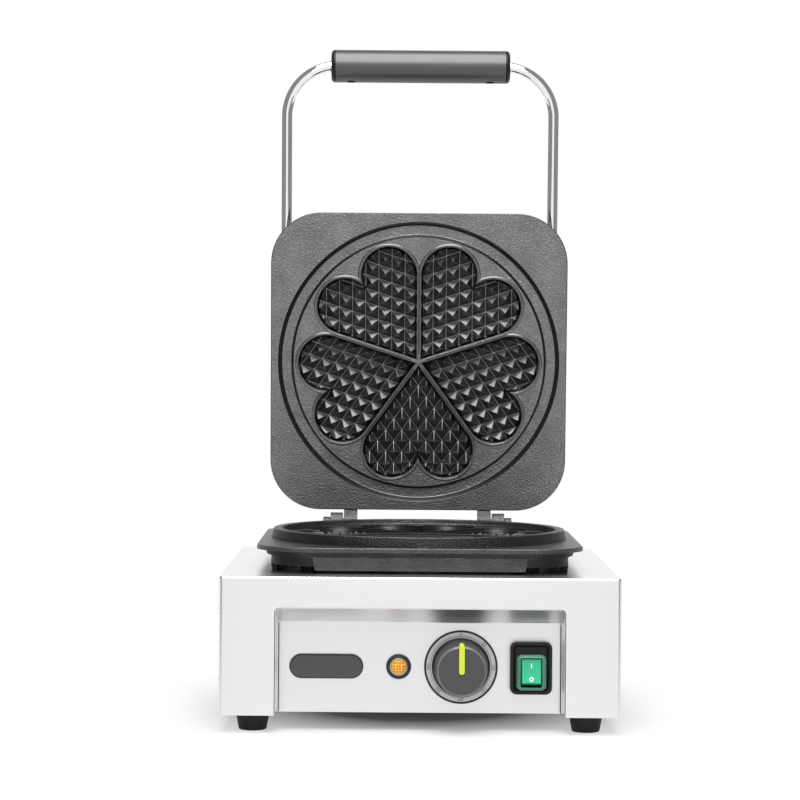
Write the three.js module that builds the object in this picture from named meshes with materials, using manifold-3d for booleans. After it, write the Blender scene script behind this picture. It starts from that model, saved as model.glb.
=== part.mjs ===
// Countertop waffle maker for five joined hearts, with its lid open at the angle where it rests.
// Lengths are millimetres. X runs to the right, Y to the back and Z up. The origin lies on the
// table, under the middle of the whole object's box.
import * as THREE from 'three';
import { mergeVertices } from 'three/addons/utils/BufferGeometryUtils.js';
import Module from 'manifold-3d';

const wasm = await Module();
wasm.setup();

const degree = Math.PI / 180;
const quarterTurn = 90 * degree;
const halfTurn = 180 * degree;

// Fits
const gap = 0.3; // air between two pieces that touch
const play = 0.4; // radial air round a screw, shaft or rod in its hole
const overrun = 1; // how far a cutter runs past the face that it cuts
const root = 2; // how deep a feature roots in the body that carries it

// Base casing, folded from sheet
const caseWidth = 304;
const caseDepth = 313;
const caseHeight = 105;
const caseSheet = 1.5;
const caseCorner = 3;
const caseTopBend = 2;
const caseLip = 12; // casing's wall to the edge of the inward lip that the bottom cover screws to
const louvreCount = 3;
const louvreLength = 240;
const louvreHeight = 8;
const louvreProud = 3.5;
const louvreFirstDrop = 25.5; // casing's top to the first louvre
const louvrePitch = 27;

// Recess in the casing's front, and the panel at its back
const cheekWidth = 42; // casing's side to the recess
const recessDepth = 20;
const recessCorner = 4;
const bandHeight = 23.1; // front band above the recess
const slopeDrop = 12.4; // height that the slanted strip falls over the recess's depth
const panelFlange = 6;
const panelFootRise = 0.5; // casing's lower edge to the panel's

// Feet
const footHeight = 13.5;
const footTopRadius = 13;
const footBottomRadius = 10.5;
const footEdge = 1;
const footInset = 25; // casing's wall to a foot's axis
const footScrewRadius = 2;
const footScrewBite = 7; // how deep a screw enters a foot

// Bottom cover
const coverNotchAir = 2; // air between the cover and the panel
const coverScrewRadius = 2;
const coverScrewInset = 7.5; // casing's wall to a cover screw's axis
const coverScrewSpread = 190; // between the screws of one side
const coverScrewTail = 2; // how far a cover screw stands out of the lip
const screwHeadHeight = 2.4;
const ventCount = 9;
const ventLength = 60;
const ventWidth = 4;
const ventPitch = 12;

// Cast plates, common to both
const plateWidth = 253;
const plateDepth = 255;
const plateCorner = 43;
const plateSetback = 18; // casing's front to the plates' front edge
const edgeRound = 0.7;
const lipThickness = 3.3;
const lipInset = 6.5;
const coveInset = 8;
const coveDepth = 7.5;
const shoulderInset = 11;
const bodyInset = 12;

// Lower plate
const plateStand = 5.3; // casing's top to the plate's underside
const rimDepth = 15; // underside to the rim's upper face
const landRise = 3.6; // rim's upper face to the baking land
const wellDepth = 4.2; // baking land to the collar's crest
const collarMargin = 7.5; // rim's edge to the collar's foot
const collarDraft = 2;
const collarWall = 7.25; // at the crest
const collarRound = 0.7;
const skirtWidth = 161;
const skirtDrop = 3.2;
const skirtThickness = 4;
const legThickness = 5;
const legLength = 18;
const legSetback = 36; // plate's edge to a leg
const bossRadius = 8;
const bossSpread = 170; // between the plate bolts, both ways
const boltRadius = 3;
const boltHeadRadius = 5.5;
const boltHeadHeight = 4;
const boltBite = 9; // how deep a bolt enters its boss

// Upper plate
const faceGap = 0.6; // between the two baking lands with the lid closed
const backWall = 3; // iron between a heart's floor and the heater's groove
const grooveInnerAir = 0.75; // collar's inner wall to the groove's
const grooveOuterAir = 1.5; // collar's crest to the groove's outer wall
const grooveFloorAir = 0.9;

// Hearts, cut alike into both plates
const heartCount = 5;
const ribThickness = 1.8;
const heartMargin = 5.9; // collar's inner wall to the hearts' reach
const lobeAngle = 17 * degree; // heart's axis to the middle of a lobe
const heartDepth = 8;
const studPitch = 11.2;
const studHeight = 4.7;

// Heaters and their clamps
const heaterRadius = 3.5;
const heaterRing = 70;
const heaterGroove = 6;
const heaterAir = 0.9; // heater to its groove's walls
const heaterOpening = 18 * degree; // half the angle that the ring leaves open
const heaterBend = 8;
const heaterTail = 12;
const clampThickness = 1.5;
const clampMargin = 10;
const clampPostRadius = 10;
const clampScrewRadius = 2.5;
const clampScrewBite = 6;

// Hinge
const hingeSetback = 10.4; // plates' rear edge to the hinge axis
const hingeEyeRadius = 8;
const hingePinRadius = 3;
const hingeHeadRadius = 4.2;
const hingeHeadLength = 6;
const lugStart = 51.5; // middle plane to a lid lug
const lugWidth = 11.5;
const knuckleWidth = 10.5;
const knuckleAir = 1; // lid lug to its knuckle
const openAngle = 85 * degree; // closed lid to the stop where it rests

// Lid cover
const coverStep = 5; // plate's body to the cover's wall
const coverHeight = 27.7;
const coverSheet = 1.2;
const coverBend = 6;
const pillarRadius = 5;
const pillarSpreadX = 140;
const pillarSpreadY = 150;
const lidScrewRadius = 2;
const lidScrewBite = 10;

// Handle
const rodRadius = 4.5;
const rodWallAir = 0.4; // cover's wall to the rod
const rodEnd = 128; // hinge axis to the rod's ends
const saddleFoot = 6;
const saddleAir = 0.9; // plate's back to a saddle's foot
const saddleWall = 2.5;
const saddleLength = 14;
const saddleRear = 150; // hinge axis to the rear saddles
const saddleFront = 226;
const gripReach = 390; // hinge axis to the grip's axis
const gripRadius = 14;
const gripLength = 153;
const gripRound = 6;
const gripBoreAir = 0.8;
const gripEntry = 5.1; // how far the rod's bends reach into the grip
const gripScrewInset = 17; // grip's end to a screw's axis
const gripScrewRadius = 1.75;
const gripScrewHeadRadius = 3.2;
const gripScrewSink = 5;
const gripScrewBite = 2.5; // how deep a screw enters the rod
const gripScrewTurn = 78 * degree; // from the lid's face side towards the hinge

// Controls, placed along the panel
const controlRise = 35.5; // casing's lower edge to the line of the controls
const badgeShare = -0.3227; // places across the panel, as shares of the recess's width
const lampShare = -0.0727;
const dialShare = 0.1427;
const switchShare = 0.3845;
const badgeWidth = 56.3;
const badgeHeight = 18.6;
const badgeThickness = 1.2;
const lampBezelRadius = 9.5;
const lampBezelThickness = 3;
const lampBezelChamfer = 1.6;
const lampBarrelRadius = 6;
const lampBarrelLength = 18;
const lampSeat = 1.2; // bezel's foot to the lens's seat
const lensRadius = 6.4;
const lensRise = 6.5;
const lensWall = 2.2; // straight part below the lens's dome
const dialRadius = 28;
const dialThickness = 0.9;
const knobRadius = 22.3;
const knobAir = 0.7; // knob's skirt to the dial ring
const knobLength = 30;
const knobSkirt = 3;
const coneFootInset = 1.7;
const coneFootRise = 6;
const coneTopInset = 3;
const coneTopRise = 20;
const capInset = 3.4;
const capBevel = 1;
const pointerWidth = 4.2;
const pointerProud = 0.6;
const pointerSunk = 1.2;
const pointerReturn = 15; // how far the pointer runs back along the cone
const shaftRadius = 3;
const shaftInKnob = 13;
const shaftInBody = 8;
const thermostatWidth = 38;
const thermostatHeight = 42;
const thermostatDepth = 30;
const switchWidth = 31.8;
const switchHeight = 39.8;
const switchCorner = 5;
const switchProud = 6;
const switchRim = 3.2;
const switchFloor = 1.8; // bezel's foot to the floor that the boot stands on
const switchBodyMargin = 2.4; // bezel's edge to the body behind the panel
const switchBodyDepth = 22;
const bootFlange = 1.6;
const bootWidth = 22.4;
const bootHeight = 26.8;
const bootCorner = 4;
const bootRise = 10;
const bootLow = 2.8; // how far the boot's dome sits below the switch's middle
const rockerWidth = 14.3;
const rockerHeight = 18;
const rockerFace = 8.4; // rocker's axis to the middle of its face
const rockerDish = 0.8;
const rockerBack = 4;
const rockerSideAir = 0.6;
const rockerSwingAir = 2.2;
const rockerAxisRise = 3;
const rockerTilt = 8 * degree; // each way from the middle

// Leads
const glandFlange = 10;
const glandFlangeThickness = 5;
const glandNose = 7;
const glandNoseLength = 9;
const glandThread = 7;
const glandThreadLength = 8;
const glandBore = 4;
const cordInset = 57; // casing's side to the cord's gland
const cordRise = 26; // casing's lower edge to the cord's gland
const leadDrop = 22; // casing's top to the lead's gland
const terminalWidth = 44;
const terminalDepth = 18;
const terminalHeight = 16;
const terminalSetback = 40; // casing's rear wall to the terminal block

// Facets
const roundSides = 40;
const middleSides = 20;
const glandSides = 16;
const hexagonSides = 6;
const smallSides = 12;
const cornerSteps = 5; // along a quarter turn
const tightSteps = 3;
const lobeSteps = 7; // along half a turn
const eyeSteps = 8;
const rodSteps = 7;
const heaterSteps = 4;
const bendSteps = 4;

// Heights and places that follow from the sizes above
const caseFront = -caseDepth / 2; // in the casing's own frame
const caseTop = footHeight + caseHeight;
const openingTop = caseHeight - bandHeight;
const recessWidth = caseWidth - 2 * cheekWidth;
const badgeX = badgeShare * recessWidth;
const lampX = lampShare * recessWidth;
const dialX = dialShare * recessWidth;
const switchX = switchShare * recessWidth;
const cordX = caseWidth / 2 - cordInset;
const panelStart = caseSheet + gap; // casing's front face to the panel's flange
const lipLow = caseSheet + gap;
const lipHigh = lipLow + caseSheet;
const notchHalf = recessWidth / 2 + panelFlange + coverNotchAir;
const notchDepth = recessDepth + caseSheet + coverNotchAir;
const underside = -landRise - rimDepth; // below the lower plate's baking land
const landTop = caseTop + plateStand - underside;
const plateMiddle = plateSetback + plateDepth / 2;
const hingeY = plateSetback + plateDepth + hingeSetback;
const plateInCase = plateMiddle - caseDepth / 2;
const collarFoot = Math.min(plateWidth, plateDepth) / 2 - collarMargin;
const collarCrest = collarFoot - collarDraft;
const wellRadius = collarCrest - collarWall;
const heartReach = wellRadius - heartMargin;
const upperThickness = heartDepth + backWall + heaterGroove;
const lidMiddle = hingeSetback + plateDepth / 2; // hinge axis to the plates' middle
const lidBack = faceGap + upperThickness;
const bossOffset = bossSpread / 2;
const knuckleStart = lugStart + lugWidth + knuckleAir;
const coverInset = bodyInset + coverStep;
const coverHalf = plateWidth / 2 - coverInset;
const rodX = coverHalf + rodWallAir + rodRadius;
const rodRise = lidBack + saddleAir + saddleFoot + rodRadius;
const rodBend = rodX - gripLength / 2 + gripEntry;
const heaterProud = gap + 2 * heaterRadius - heaterGroove; // heater's crest above a plate's back
const clampLow = heaterProud + gap;
const clampHigh = clampLow + clampThickness;
const clampRadius = heaterRing + clampMargin;
const windowHalf = heaterRing * Math.sin(heaterOpening) + heaterRadius + root;
const windowStart = heaterRing * Math.cos(heaterOpening) - heaterRadius - root;
const pocketWidth = switchWidth - 2 * switchRim;
const pocketHeight = switchHeight - 2 * switchRim;
const switchBodyWidth = switchWidth - 2 * switchBodyMargin;
const switchBodyHeight = switchHeight - 2 * switchBodyMargin;
const sides = [['left', -1], ['right', 1]];

// Finishes
function finish(color, roughness, metalness) {
  return new THREE.MeshStandardMaterial({ color, roughness, metalness });
}
const stainless = finish(0xd8d9da, 0.3, 1);
const chrome = finish(0xe6e7e9, 0.08, 1);
const steel = finish(0xa9abae, 0.4, 1);
const blackIron = finish(0x1f1f20, 0.7, 0.3);
const greyIron = finish(0x5d5d60, 0.6, 0.4);
const heaterSteel = finish(0x4f4a46, 0.5, 0.8);
const rubber = finish(0x141414, 0.9, 0);
const gripPlastic = finish(0x3a3a3d, 0.5, 0);
const blackPlastic = finish(0x1a1a1b, 0.45, 0);
const knobPlastic = finish(0x3c3c3e, 0.5, 0);
const pointerPlastic = finish(0xd9ea3c, 0.4, 0);
const badgeGrey = finish(0x444447, 0.4, 0.2);
const dialSilver = finish(0xa7a9ab, 0.35, 0.8);
const amber = finish(0xff9a1f, 0.2, 0);
const switchGreen = finish(0x22c58b, 0.25, 0);
const bootGreen = finish(0x4f8f70, 0.2, 0);
const ceramic = finish(0xe9e4d8, 0.7, 0);

// Solid of a closed geometry, with its faces turned outward
function solid(geometry) {
  const bare = geometry.clone();
  bare.deleteAttribute('normal');
  bare.deleteAttribute('uv');
  const merged = mergeVertices(bare);
  const position = merged.attributes.position;
  const index = merged.index.array;
  const corner = (i) => new THREE.Vector3().fromBufferAttribute(position, i);
  const faces = [];
  let volume = 0;
  for (let i = 0; i < index.length; i += 3) {
    const [a, b, c] = [index[i], index[i + 1], index[i + 2]];
    if (a === b || b === c || c === a) continue;
    faces.push(a, b, c);
    volume += corner(a).dot(corner(b).cross(corner(c)));
  }
  if (volume < 0) faces.reverse();
  return new wasm.Manifold(new wasm.Mesh({
    numProp: 3,
    vertProperties: new Float32Array(position.array),
    triVerts: new Uint32Array(faces),
  }));
}

function asSolid(body) {
  return body instanceof THREE.BufferGeometry ? solid(body) : body;
}

function join(...bodies) {
  return bodies.map(asSolid).reduce((whole, next) => whole.add(next));
}

function cut(body, ...tools) {
  return tools.map(asSolid).reduce((rest, tool) => rest.subtract(tool), asSolid(body));
}

function addPiece(parent, name, body, material) {
  const mesh = asSolid(body).getMesh();
  const geometry = new THREE.BufferGeometry();
  geometry.setAttribute('position', new THREE.BufferAttribute(new Float32Array(mesh.vertProperties), 3));
  geometry.setIndex(new THREE.BufferAttribute(new Uint32Array(mesh.triVerts), 1));
  geometry.computeVertexNormals();
  const piece = new THREE.Mesh(geometry, material);
  piece.name = name;
  parent.add(piece);
  return piece;
}

function addGroup(parent, x, y, z) {
  const group = new THREE.Group();
  group.position.set(x, y, z);
  parent.add(group);
  return group;
}

// Places at the four corners of a rectangle round [0, middle]
function atCorners(halfX, halfY, middle = 0) {
  const signs = [[-1, -1], [1, -1], [1, 1], [-1, 1]];
  return signs.map(([signX, signY]) => [signX * halfX, middle + signY * halfY]);
}

// Box between two corners
function block(x0, x1, y0, y1, z0, z1) {
  const geometry = new THREE.BoxGeometry(x1 - x0, y1 - y0, z1 - z0);
  return geometry.translate((x0 + x1) / 2, (y0 + y1) / 2, (z0 + z1) / 2);
}

// Cylinder along Z
function column(radius, z0, z1, x = 0, y = 0, count = smallSides) {
  const geometry = new THREE.CylinderGeometry(radius, radius, z1 - z0, count);
  return geometry.rotateX(quarterTurn).translate(x, y, (z0 + z1) / 2);
}

// Cutter along Z for a screw's hole, past both faces of what it goes through
function hole(radius, low, high, [x, y] = [0, 0]) {
  return column(radius + play, low - overrun, high + overrun, x, y);
}

// Cylinder along X
function axle(radius, x0, x1, y = 0, z = 0, count = middleSides) {
  const geometry = new THREE.CylinderGeometry(radius, radius, Math.abs(x1 - x0), count);
  return geometry.rotateZ(quarterTurn).translate((x0 + x1) / 2, y, z);
}

// Cylinder along Y
function bar(radius, y0, y1, x = 0, z = 0, count = middleSides) {
  const geometry = new THREE.CylinderGeometry(radius, radius, y1 - y0, count);
  return geometry.translate(x, (y0 + y1) / 2, z);
}

// Body turned round Z from a closed profile of [radius, height] points
function turned(profile, count = roundSides) {
  const points = [...profile, profile[0]].map(([radius, height]) => new THREE.Vector2(radius, height));
  return new THREE.LatheGeometry(points, count).rotateX(quarterTurn);
}

// Outline raised along Z between two heights
function raised(outline, z0, z1, curveSegments = smallSides) {
  const shape = outline instanceof THREE.Shape ? outline : new THREE.Shape(outline);
  const options = { depth: z1 - z0, bevelEnabled: false, curveSegments };
  return new THREE.ExtrudeGeometry(shape, options).translate(0, 0, z0);
}

// Outline in Y and Z, carried along X
function alongX(outline, x0, x1, curveSegments = smallSides) {
  return raised(outline, x0, x1, curveSegments).rotateX(quarterTurn).rotateZ(quarterTurn);
}

// Outline in X and Z, carried along Y
function alongY(outline, y0, y1, curveSegments = smallSides) {
  return raised(outline, -y1, -y0, curveSegments).rotateX(quarterTurn);
}

function polygon(...points) {
  return points.map(([x, y]) => new THREE.Vector2(x, y));
}

function roundedRect(width, height, radius, steps = tightSteps) {
  const points = [];
  const corners = [[1, 1], [-1, 1], [-1, -1], [1, -1]];
  corners.forEach(([sideX, sideY], quarter) => {
    for (let i = 0; i <= steps; i++) {
      const angle = (quarter + i / steps) * quarterTurn;
      const x = sideX * (width / 2 - radius) + radius * Math.cos(angle);
      const y = sideY * (height / 2 - radius) + radius * Math.sin(angle);
      points.push(new THREE.Vector2(x, y));
    }
  });
  return points;
}

// Body through level rounded rectangles, each a ring of [inset from the full size, height]
function loft(width, depth, radius, rings, steps) {
  const positions = [];
  const faces = [];
  const count = 4 * (steps + 1);
  rings.forEach(([inset, height], level) => {
    const outline = roundedRect(width - 2 * inset, depth - 2 * inset, radius - inset, steps);
    outline.forEach((point) => positions.push(point.x, point.y, height));
    if (level === 0) return;
    const above = level * count;
    const below = above - count;
    for (let i = 0; i < count; i++) {
      const next = (i + 1) % count;
      faces.push(below + i, below + next, above + next, below + i, above + next, above + i);
    }
  });
  const top = (rings.length - 1) * count;
  for (let i = 1; i < count - 1; i++) {
    faces.push(0, i + 1, i, top, top + i, top + i + 1);
  }
  const geometry = new THREE.BufferGeometry();
  geometry.setAttribute('position', new THREE.Float32BufferAttribute(positions, 3));
  return geometry.setIndex(faces);
}

// Loft rings for the rounded edge at the top of a folded cover
function bendRings(inset, bend, top) {
  return [0, 45, 90].map((angle) => [
    inset + bend * (1 - Math.cos(angle * degree)),
    top - bend * (1 - Math.sin(angle * degree)),
  ]);
}

// Path through chosen stations, so that a tube has its rings where it bends
class StationPath extends THREE.Curve {
  constructor(stations) {
    super();
    this.stations = stations;
  }

  getPoint(t, target = new THREE.Vector3()) {
    return target.copy(this.stations[Math.round(t * (this.stations.length - 1))]);
  }

  getPointAt(t, target) {
    return this.getPoint(t, target);
  }

  getTangentAt(t, target = new THREE.Vector3()) {
    const last = this.stations.length - 1;
    const index = Math.round(t * last);
    const before = this.stations[Math.max(index - 1, 0)];
    const after = this.stations[Math.min(index + 1, last)];
    return target.subVectors(after, before).normalize();
  }
}

function tube(stations, radius, curveSegments) {
  const section = new THREE.Shape();
  section.absarc(0, 0, radius, 0, 2 * Math.PI);
  const extrudePath = new StationPath(stations);
  return new THREE.ExtrudeGeometry(section, { steps: stations.length - 1, extrudePath, curveSegments });
}

// Screw with its head on z = 0 and its shank below
function screw(radius, length) {
  return turned([
    [0, -length],
    [radius, -length],
    [radius, 0],
    [2 * radius, 0],
    [2 * radius, screwHeadHeight / 2],
    [radius, screwHeadHeight],
    [0, screwHeadHeight],
  ], smallSides);
}

// One heart, with its tip at the plate's middle and its axis along +Y
function heartOutline() {
  const wedge = Math.PI / heartCount;
  const slope = Math.sin(wedge - lobeAngle);
  const lobe = (heartReach * slope - ribThickness / 2) / (1 + slope);
  const distance = heartReach - lobe;
  const x = distance * Math.sin(lobeAngle);
  const y = distance * Math.cos(lobeAngle);
  const notch = Math.acos(x / lobe);
  const shape = new THREE.Shape();
  shape.moveTo(0, ribThickness / 2 / Math.sin(wedge));
  shape.lineTo(x + lobe * Math.cos(wedge), y - lobe * Math.sin(wedge));
  shape.absarc(x, y, lobe, -wedge, Math.PI - notch, false);
  shape.absarc(-x, y, lobe, notch, Math.PI + wedge, false);
  shape.closePath();
  return shape;
}

// Field of pyramids in rhombic cells whose sides run parallel to the ribs beside a heart.
// Its valleys lie at the hearts' floor, and it reaches past a heart on every side.
function studField() {
  const wedge = Math.PI / heartCount;
  const edge = studPitch / Math.sin(2 * wedge);
  const tip = ribThickness / 2 / Math.sin(wedge);
  const cells = Math.ceil(heartReach / studPitch) + 1;
  const side = cells + 1; // corners along one side of the field
  const floor = -heartDepth;
  const positions = [];
  const faces = [];
  const addVertex = (i, j, z) => {
    const across = (i - j) * edge * Math.sin(wedge);
    const outward = (i + j - 2) * edge * Math.cos(wedge);
    return positions.push(across, tip + outward, z) / 3 - 1;
  };
  const addQuad = (a, b, c, d) => faces.push(a, b, c, a, c, d);
  for (const z of [floor, floor - studPitch]) {
    for (let i = 0; i < side; i++) {
      for (let j = 0; j < side; j++) addVertex(i, j, z);
    }
  }
  const above = (i, j) => i * side + j;
  const below = (i, j) => side * side + above(i, j);
  for (let i = 0; i < cells; i++) {
    for (let j = 0; j < cells; j++) {
      const ring = [[i, j], [i + 1, j], [i + 1, j + 1], [i, j + 1]];
      const apex = addVertex(i + 0.5, j + 0.5, floor + studHeight);
      ring.forEach((start, n) => faces.push(above(...start), above(...ring[(n + 1) % 4]), apex));
      addQuad(below(i, j), below(i, j + 1), below(i + 1, j + 1), below(i + 1, j));
    }
    addQuad(below(i, 0), below(i + 1, 0), above(i + 1, 0), above(i, 0));
    addQuad(above(i, cells), above(i + 1, cells), below(i + 1, cells), below(i, cells));
    addQuad(above(0, i), above(0, i + 1), below(0, i + 1), below(0, i));
    addQuad(below(cells, i), below(cells, i + 1), above(cells, i + 1), above(cells, i));
  }
  const geometry = new THREE.BufferGeometry();
  geometry.setAttribute('position', new THREE.Float32BufferAttribute(positions, 3));
  return geometry.setIndex(faces);
}

// Sinks the hearts into a plate whose baking land is z = 0, and leaves the pyramids standing
function cutHearts(plate, turnOver) {
  const prism = raised(heartOutline(), -heartDepth - overrun, overrun, lobeSteps);
  const field = studField();
  const hearts = Array.from({ length: heartCount }, (_, number) => {
    const placed = [prism, field].map((geometry) => {
      const copy = geometry.clone().rotateZ(2 * Math.PI * number / heartCount);
      return turnOver ? copy.rotateY(halfTurn) : copy;
    });
    return cut(...placed);
  });
  return cut(plate, ...hearts);
}

// Cast plate without its hearts: outer face at z = 0 and the back at z = thickness
function plateBlank(thickness) {
  const rings = [
    [edgeRound, 0],
    [0, edgeRound],
    [0, lipThickness],
    [lipInset, lipThickness],
    [coveInset, coveDepth],
    [shoulderInset, coveDepth],
    [bodyInset, thickness],
  ];
  return loft(plateWidth, plateDepth, plateCorner, rings, cornerSteps);
}

// Eye round the hinge axis. The arm's points are [Y, Z] from the axis, from the one that the
// eye's upper side runs to, round the foot, to the one that its lower side runs to.
function hingeEye(arm, x0, x1) {
  const tangent = ([y, z], side) => Math.atan2(z, y) + side * Math.acos(hingeEyeRadius / Math.hypot(y, z));
  const start = tangent(arm[arm.length - 1], 1);
  const end = tangent(arm[0], -1);
  const fullTurn = 2 * Math.PI;
  const sweep = ((end - start) % fullTurn + fullTurn) % fullTurn;
  const shape = new THREE.Shape();
  shape.moveTo(...arm[0]);
  arm.slice(1).forEach((point) => shape.lineTo(...point));
  shape.absarc(0, 0, hingeEyeRadius, start, start + sweep, false);
  shape.closePath();
  return alongX(shape, Math.min(x0, x1), Math.max(x0, x1), eyeSteps);
}

// Cutter for a hinge pin's hole between two faces of an eye, behind a plate's middle
function pinHole(x0, x1) {
  const past = Math.sign(x1 - x0) * overrun;
  return axle(hingePinRadius + play, x0 - past, x1 + past, lidMiddle, 0, smallSides);
}

// Features of a plate's back face, which is z = 0 here and looks along +Z
function heaterChannel() {
  const half = heaterRadius + heaterAir;
  return turned([
    [heaterRing - half, -heaterGroove],
    [heaterRing + half, -heaterGroove],
    [heaterRing + half, overrun],
    [heaterRing - half, overrun],
  ], roundSides);
}

function heater() {
  const height = gap + heaterRadius - heaterGroove;
  const ringSteps = 24;
  const first = quarterTurn + heaterOpening;
  const last = 5 * quarterTurn - heaterOpening;
  const onRing = (angle) => new THREE.Vector3(
    heaterRing * Math.cos(angle), heaterRing * Math.sin(angle), height);
  const onBend = (angle, outward, turn, tail = 0) => onRing(angle).add(new THREE.Vector3(
    -Math.sin(angle) * outward * heaterBend * Math.sin(turn),
    Math.cos(angle) * outward * heaterBend * Math.sin(turn),
    heaterBend * (1 - Math.cos(turn)) + tail));
  const stations = [onBend(first, -1, quarterTurn, heaterTail)];
  for (let i = bendSteps; i > 0; i--) stations.push(onBend(first, -1, quarterTurn * i / bendSteps));
  for (let i = 0; i <= ringSteps; i++) stations.push(onRing(first + (last - first) * i / ringSteps));
  for (let i = 1; i <= bendSteps; i++) stations.push(onBend(last, 1, quarterTurn * i / bendSteps));
  stations.push(onBend(last, 1, quarterTurn, heaterTail));
  return tube(stations, heaterRadius, heaterSteps);
}

function heaterClamp() {
  return cut(
    column(clampRadius, clampLow, clampHigh, 0, 0, roundSides),
    hole(clampScrewRadius, clampLow, clampHigh),
    block(-windowHalf, windowHalf, windowStart, clampRadius + overrun,
      clampLow - overrun, clampHigh + overrun));
}

function clampScrew() {
  return screw(clampScrewRadius, clampHigh + gap + clampScrewBite - gap).translate(0, 0, clampHigh + gap);
}

// Hexagon bolt with its head on z = 0 and its shank above
function plateBolt() {
  const length = caseSheet + gap + gap + boltBite - gap;
  return join(
    column(boltHeadRadius, -boltHeadHeight, 0, 0, 0, hexagonSides),
    column(boltRadius, -boltHeadHeight / 2, length));
}

// Base casing, in a frame with its lower edge at z = 0 and its middle at x = y = 0
const cornerNames = ['front_left', 'front_right', 'rear_right', 'rear_left'];
const boltPlaces = atCorners(bossOffset, bossOffset, plateInCase);
const coverScrewPlaces = atCorners(caseWidth / 2 - coverScrewInset, coverScrewSpread / 2);
const footPlaces = atCorners(caseWidth / 2 - footInset, caseDepth / 2 - footInset);

// Pressed louvre, a sloping hood along a side wall
function louvre(number, side) {
  const inner = side * (caseWidth / 2 - caseSheet / 2);
  const outer = side * (caseWidth / 2 + louvreProud);
  const high = caseHeight - louvreFirstDrop - number * louvrePitch + louvreHeight / 2;
  const hood = polygon([inner, high], [outer, high - louvreHeight], [inner, high - louvreHeight]);
  return alongY(hood, -louvreLength / 2, louvreLength / 2);
}

function baseHousing() {
  const lipInner = loft(caseWidth, caseDepth, caseLip + caseCorner,
    [[caseLip, lipLow - overrun], [caseLip, lipHigh + overrun]], tightSteps);
  const lip = cut(
    loft(caseWidth, caseDepth, caseCorner, [[caseSheet / 2, lipLow], [caseSheet / 2, lipHigh]], tightSteps),
    lipInner);
  const shell = cut(
    loft(caseWidth, caseDepth, caseCorner, [[0, 0], ...bendRings(0, caseTopBend, caseHeight)], tightSteps),
    loft(caseWidth, caseDepth, caseCorner,
      [[caseSheet, -overrun], [caseSheet, caseHeight - caseSheet]], tightSteps));
  const louvres = sides.flatMap(([, side]) =>
    Array.from({ length: louvreCount }, (_, number) => louvre(number, side)));
  const opening = alongY(roundedRect(recessWidth, 2 * openingTop, recessCorner),
    caseFront - overrun, caseFront + caseSheet + overrun);
  const topLow = caseHeight - caseSheet;
  const wallIn = caseDepth / 2 - caseSheet - overrun;
  const wallOut = caseDepth / 2 + overrun;
  return cut(
    join(shell, lip, ...louvres),
    opening,
    block(-notchHalf, notchHalf, caseFront + caseSheet, caseFront + notchDepth,
      lipLow - overrun, lipHigh + overrun),
    block(-windowHalf, windowHalf, plateInCase + windowStart, plateInCase + clampRadius,
      topLow - overrun, caseHeight + overrun),
    hole(2 * clampScrewRadius + root, topLow, caseHeight, [0, plateInCase]),
    ...boltPlaces.map((place) => hole(boltRadius, topLow, caseHeight, place)),
    ...coverScrewPlaces.map((place) => hole(coverScrewRadius, lipLow, lipHigh, place)),
    bar(glandThread + play, wallIn, wallOut, cordX, cordRise),
    bar(glandThread + play, wallIn, wallOut, 0, caseHeight - leadDrop));
}

function controlPanel() {
  const half = recessWidth / 2;
  const start = caseFront + panelStart;
  const back = caseFront + recessDepth;
  const slope = (y) => openingTop - slopeDrop * (y - caseFront) / recessDepth;
  const rise = caseSheet * Math.hypot(1, slopeDrop / recessDepth); // strip's thickness, measured upright
  const tray = polygon(
    [start, panelFootRise],
    [back + caseSheet, panelFootRise],
    [back + caseSheet, slope(back) + caseSheet],
    [start, slope(start) + rise]);
  const air = polygon(
    [start - overrun, panelFootRise - overrun],
    [back, panelFootRise - overrun],
    [back, slope(back)],
    [start - overrun, slope(start - overrun)]);
  const flangeHalf = half + panelFlange;
  return cut(
    join(
      alongX(tray, -half - caseSheet, half + caseSheet),
      block(-flangeHalf, flangeHalf, start, start + caseSheet, panelFootRise, openingTop + panelFlange)),
    alongX(air, -half, half),
    bar(lampBarrelRadius + play, back - overrun, back + caseSheet + overrun, lampX, controlRise),
    bar(shaftRadius + play, back - overrun, back + caseSheet + overrun, dialX, controlRise),
    block(switchX - switchBodyWidth / 2 - gap, switchX + switchBodyWidth / 2 + gap,
      back - overrun, back + caseSheet + overrun,
      controlRise - switchBodyHeight / 2 - gap, controlRise + switchBodyHeight / 2 + gap));
}

function bottomCover() {
  const inset = caseSheet + gap;
  const vents = Array.from({ length: ventCount }, (_, i) =>
    raised(roundedRect(ventWidth, ventLength, ventWidth / 2, tightSteps), -overrun, caseSheet + overrun)
      .translate((i - (ventCount - 1) / 2) * ventPitch, 0, 0));
  return cut(
    loft(caseWidth, caseDepth, caseCorner, [[inset, 0], [inset, caseSheet]], tightSteps),
    block(-notchHalf, notchHalf, caseFront - overrun, caseFront + notchDepth, -overrun, caseSheet + overrun),
    ...footPlaces.map((place) => hole(footScrewRadius, 0, caseSheet, place)),
    ...coverScrewPlaces.map((place) => hole(coverScrewRadius, 0, caseSheet, place)),
    ...vents);
}

function foot() {
  const hole = footScrewRadius + play;
  const holeFloor = -gap - footScrewBite - gap;
  return turned([
    [0, -footHeight],
    [footBottomRadius - footEdge, -footHeight],
    [footBottomRadius, footEdge - footHeight],
    [footTopRadius, -gap],
    [hole, -gap],
    [hole, holeFloor],
    [0, holeFloor],
  ], middleSides);
}

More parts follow.
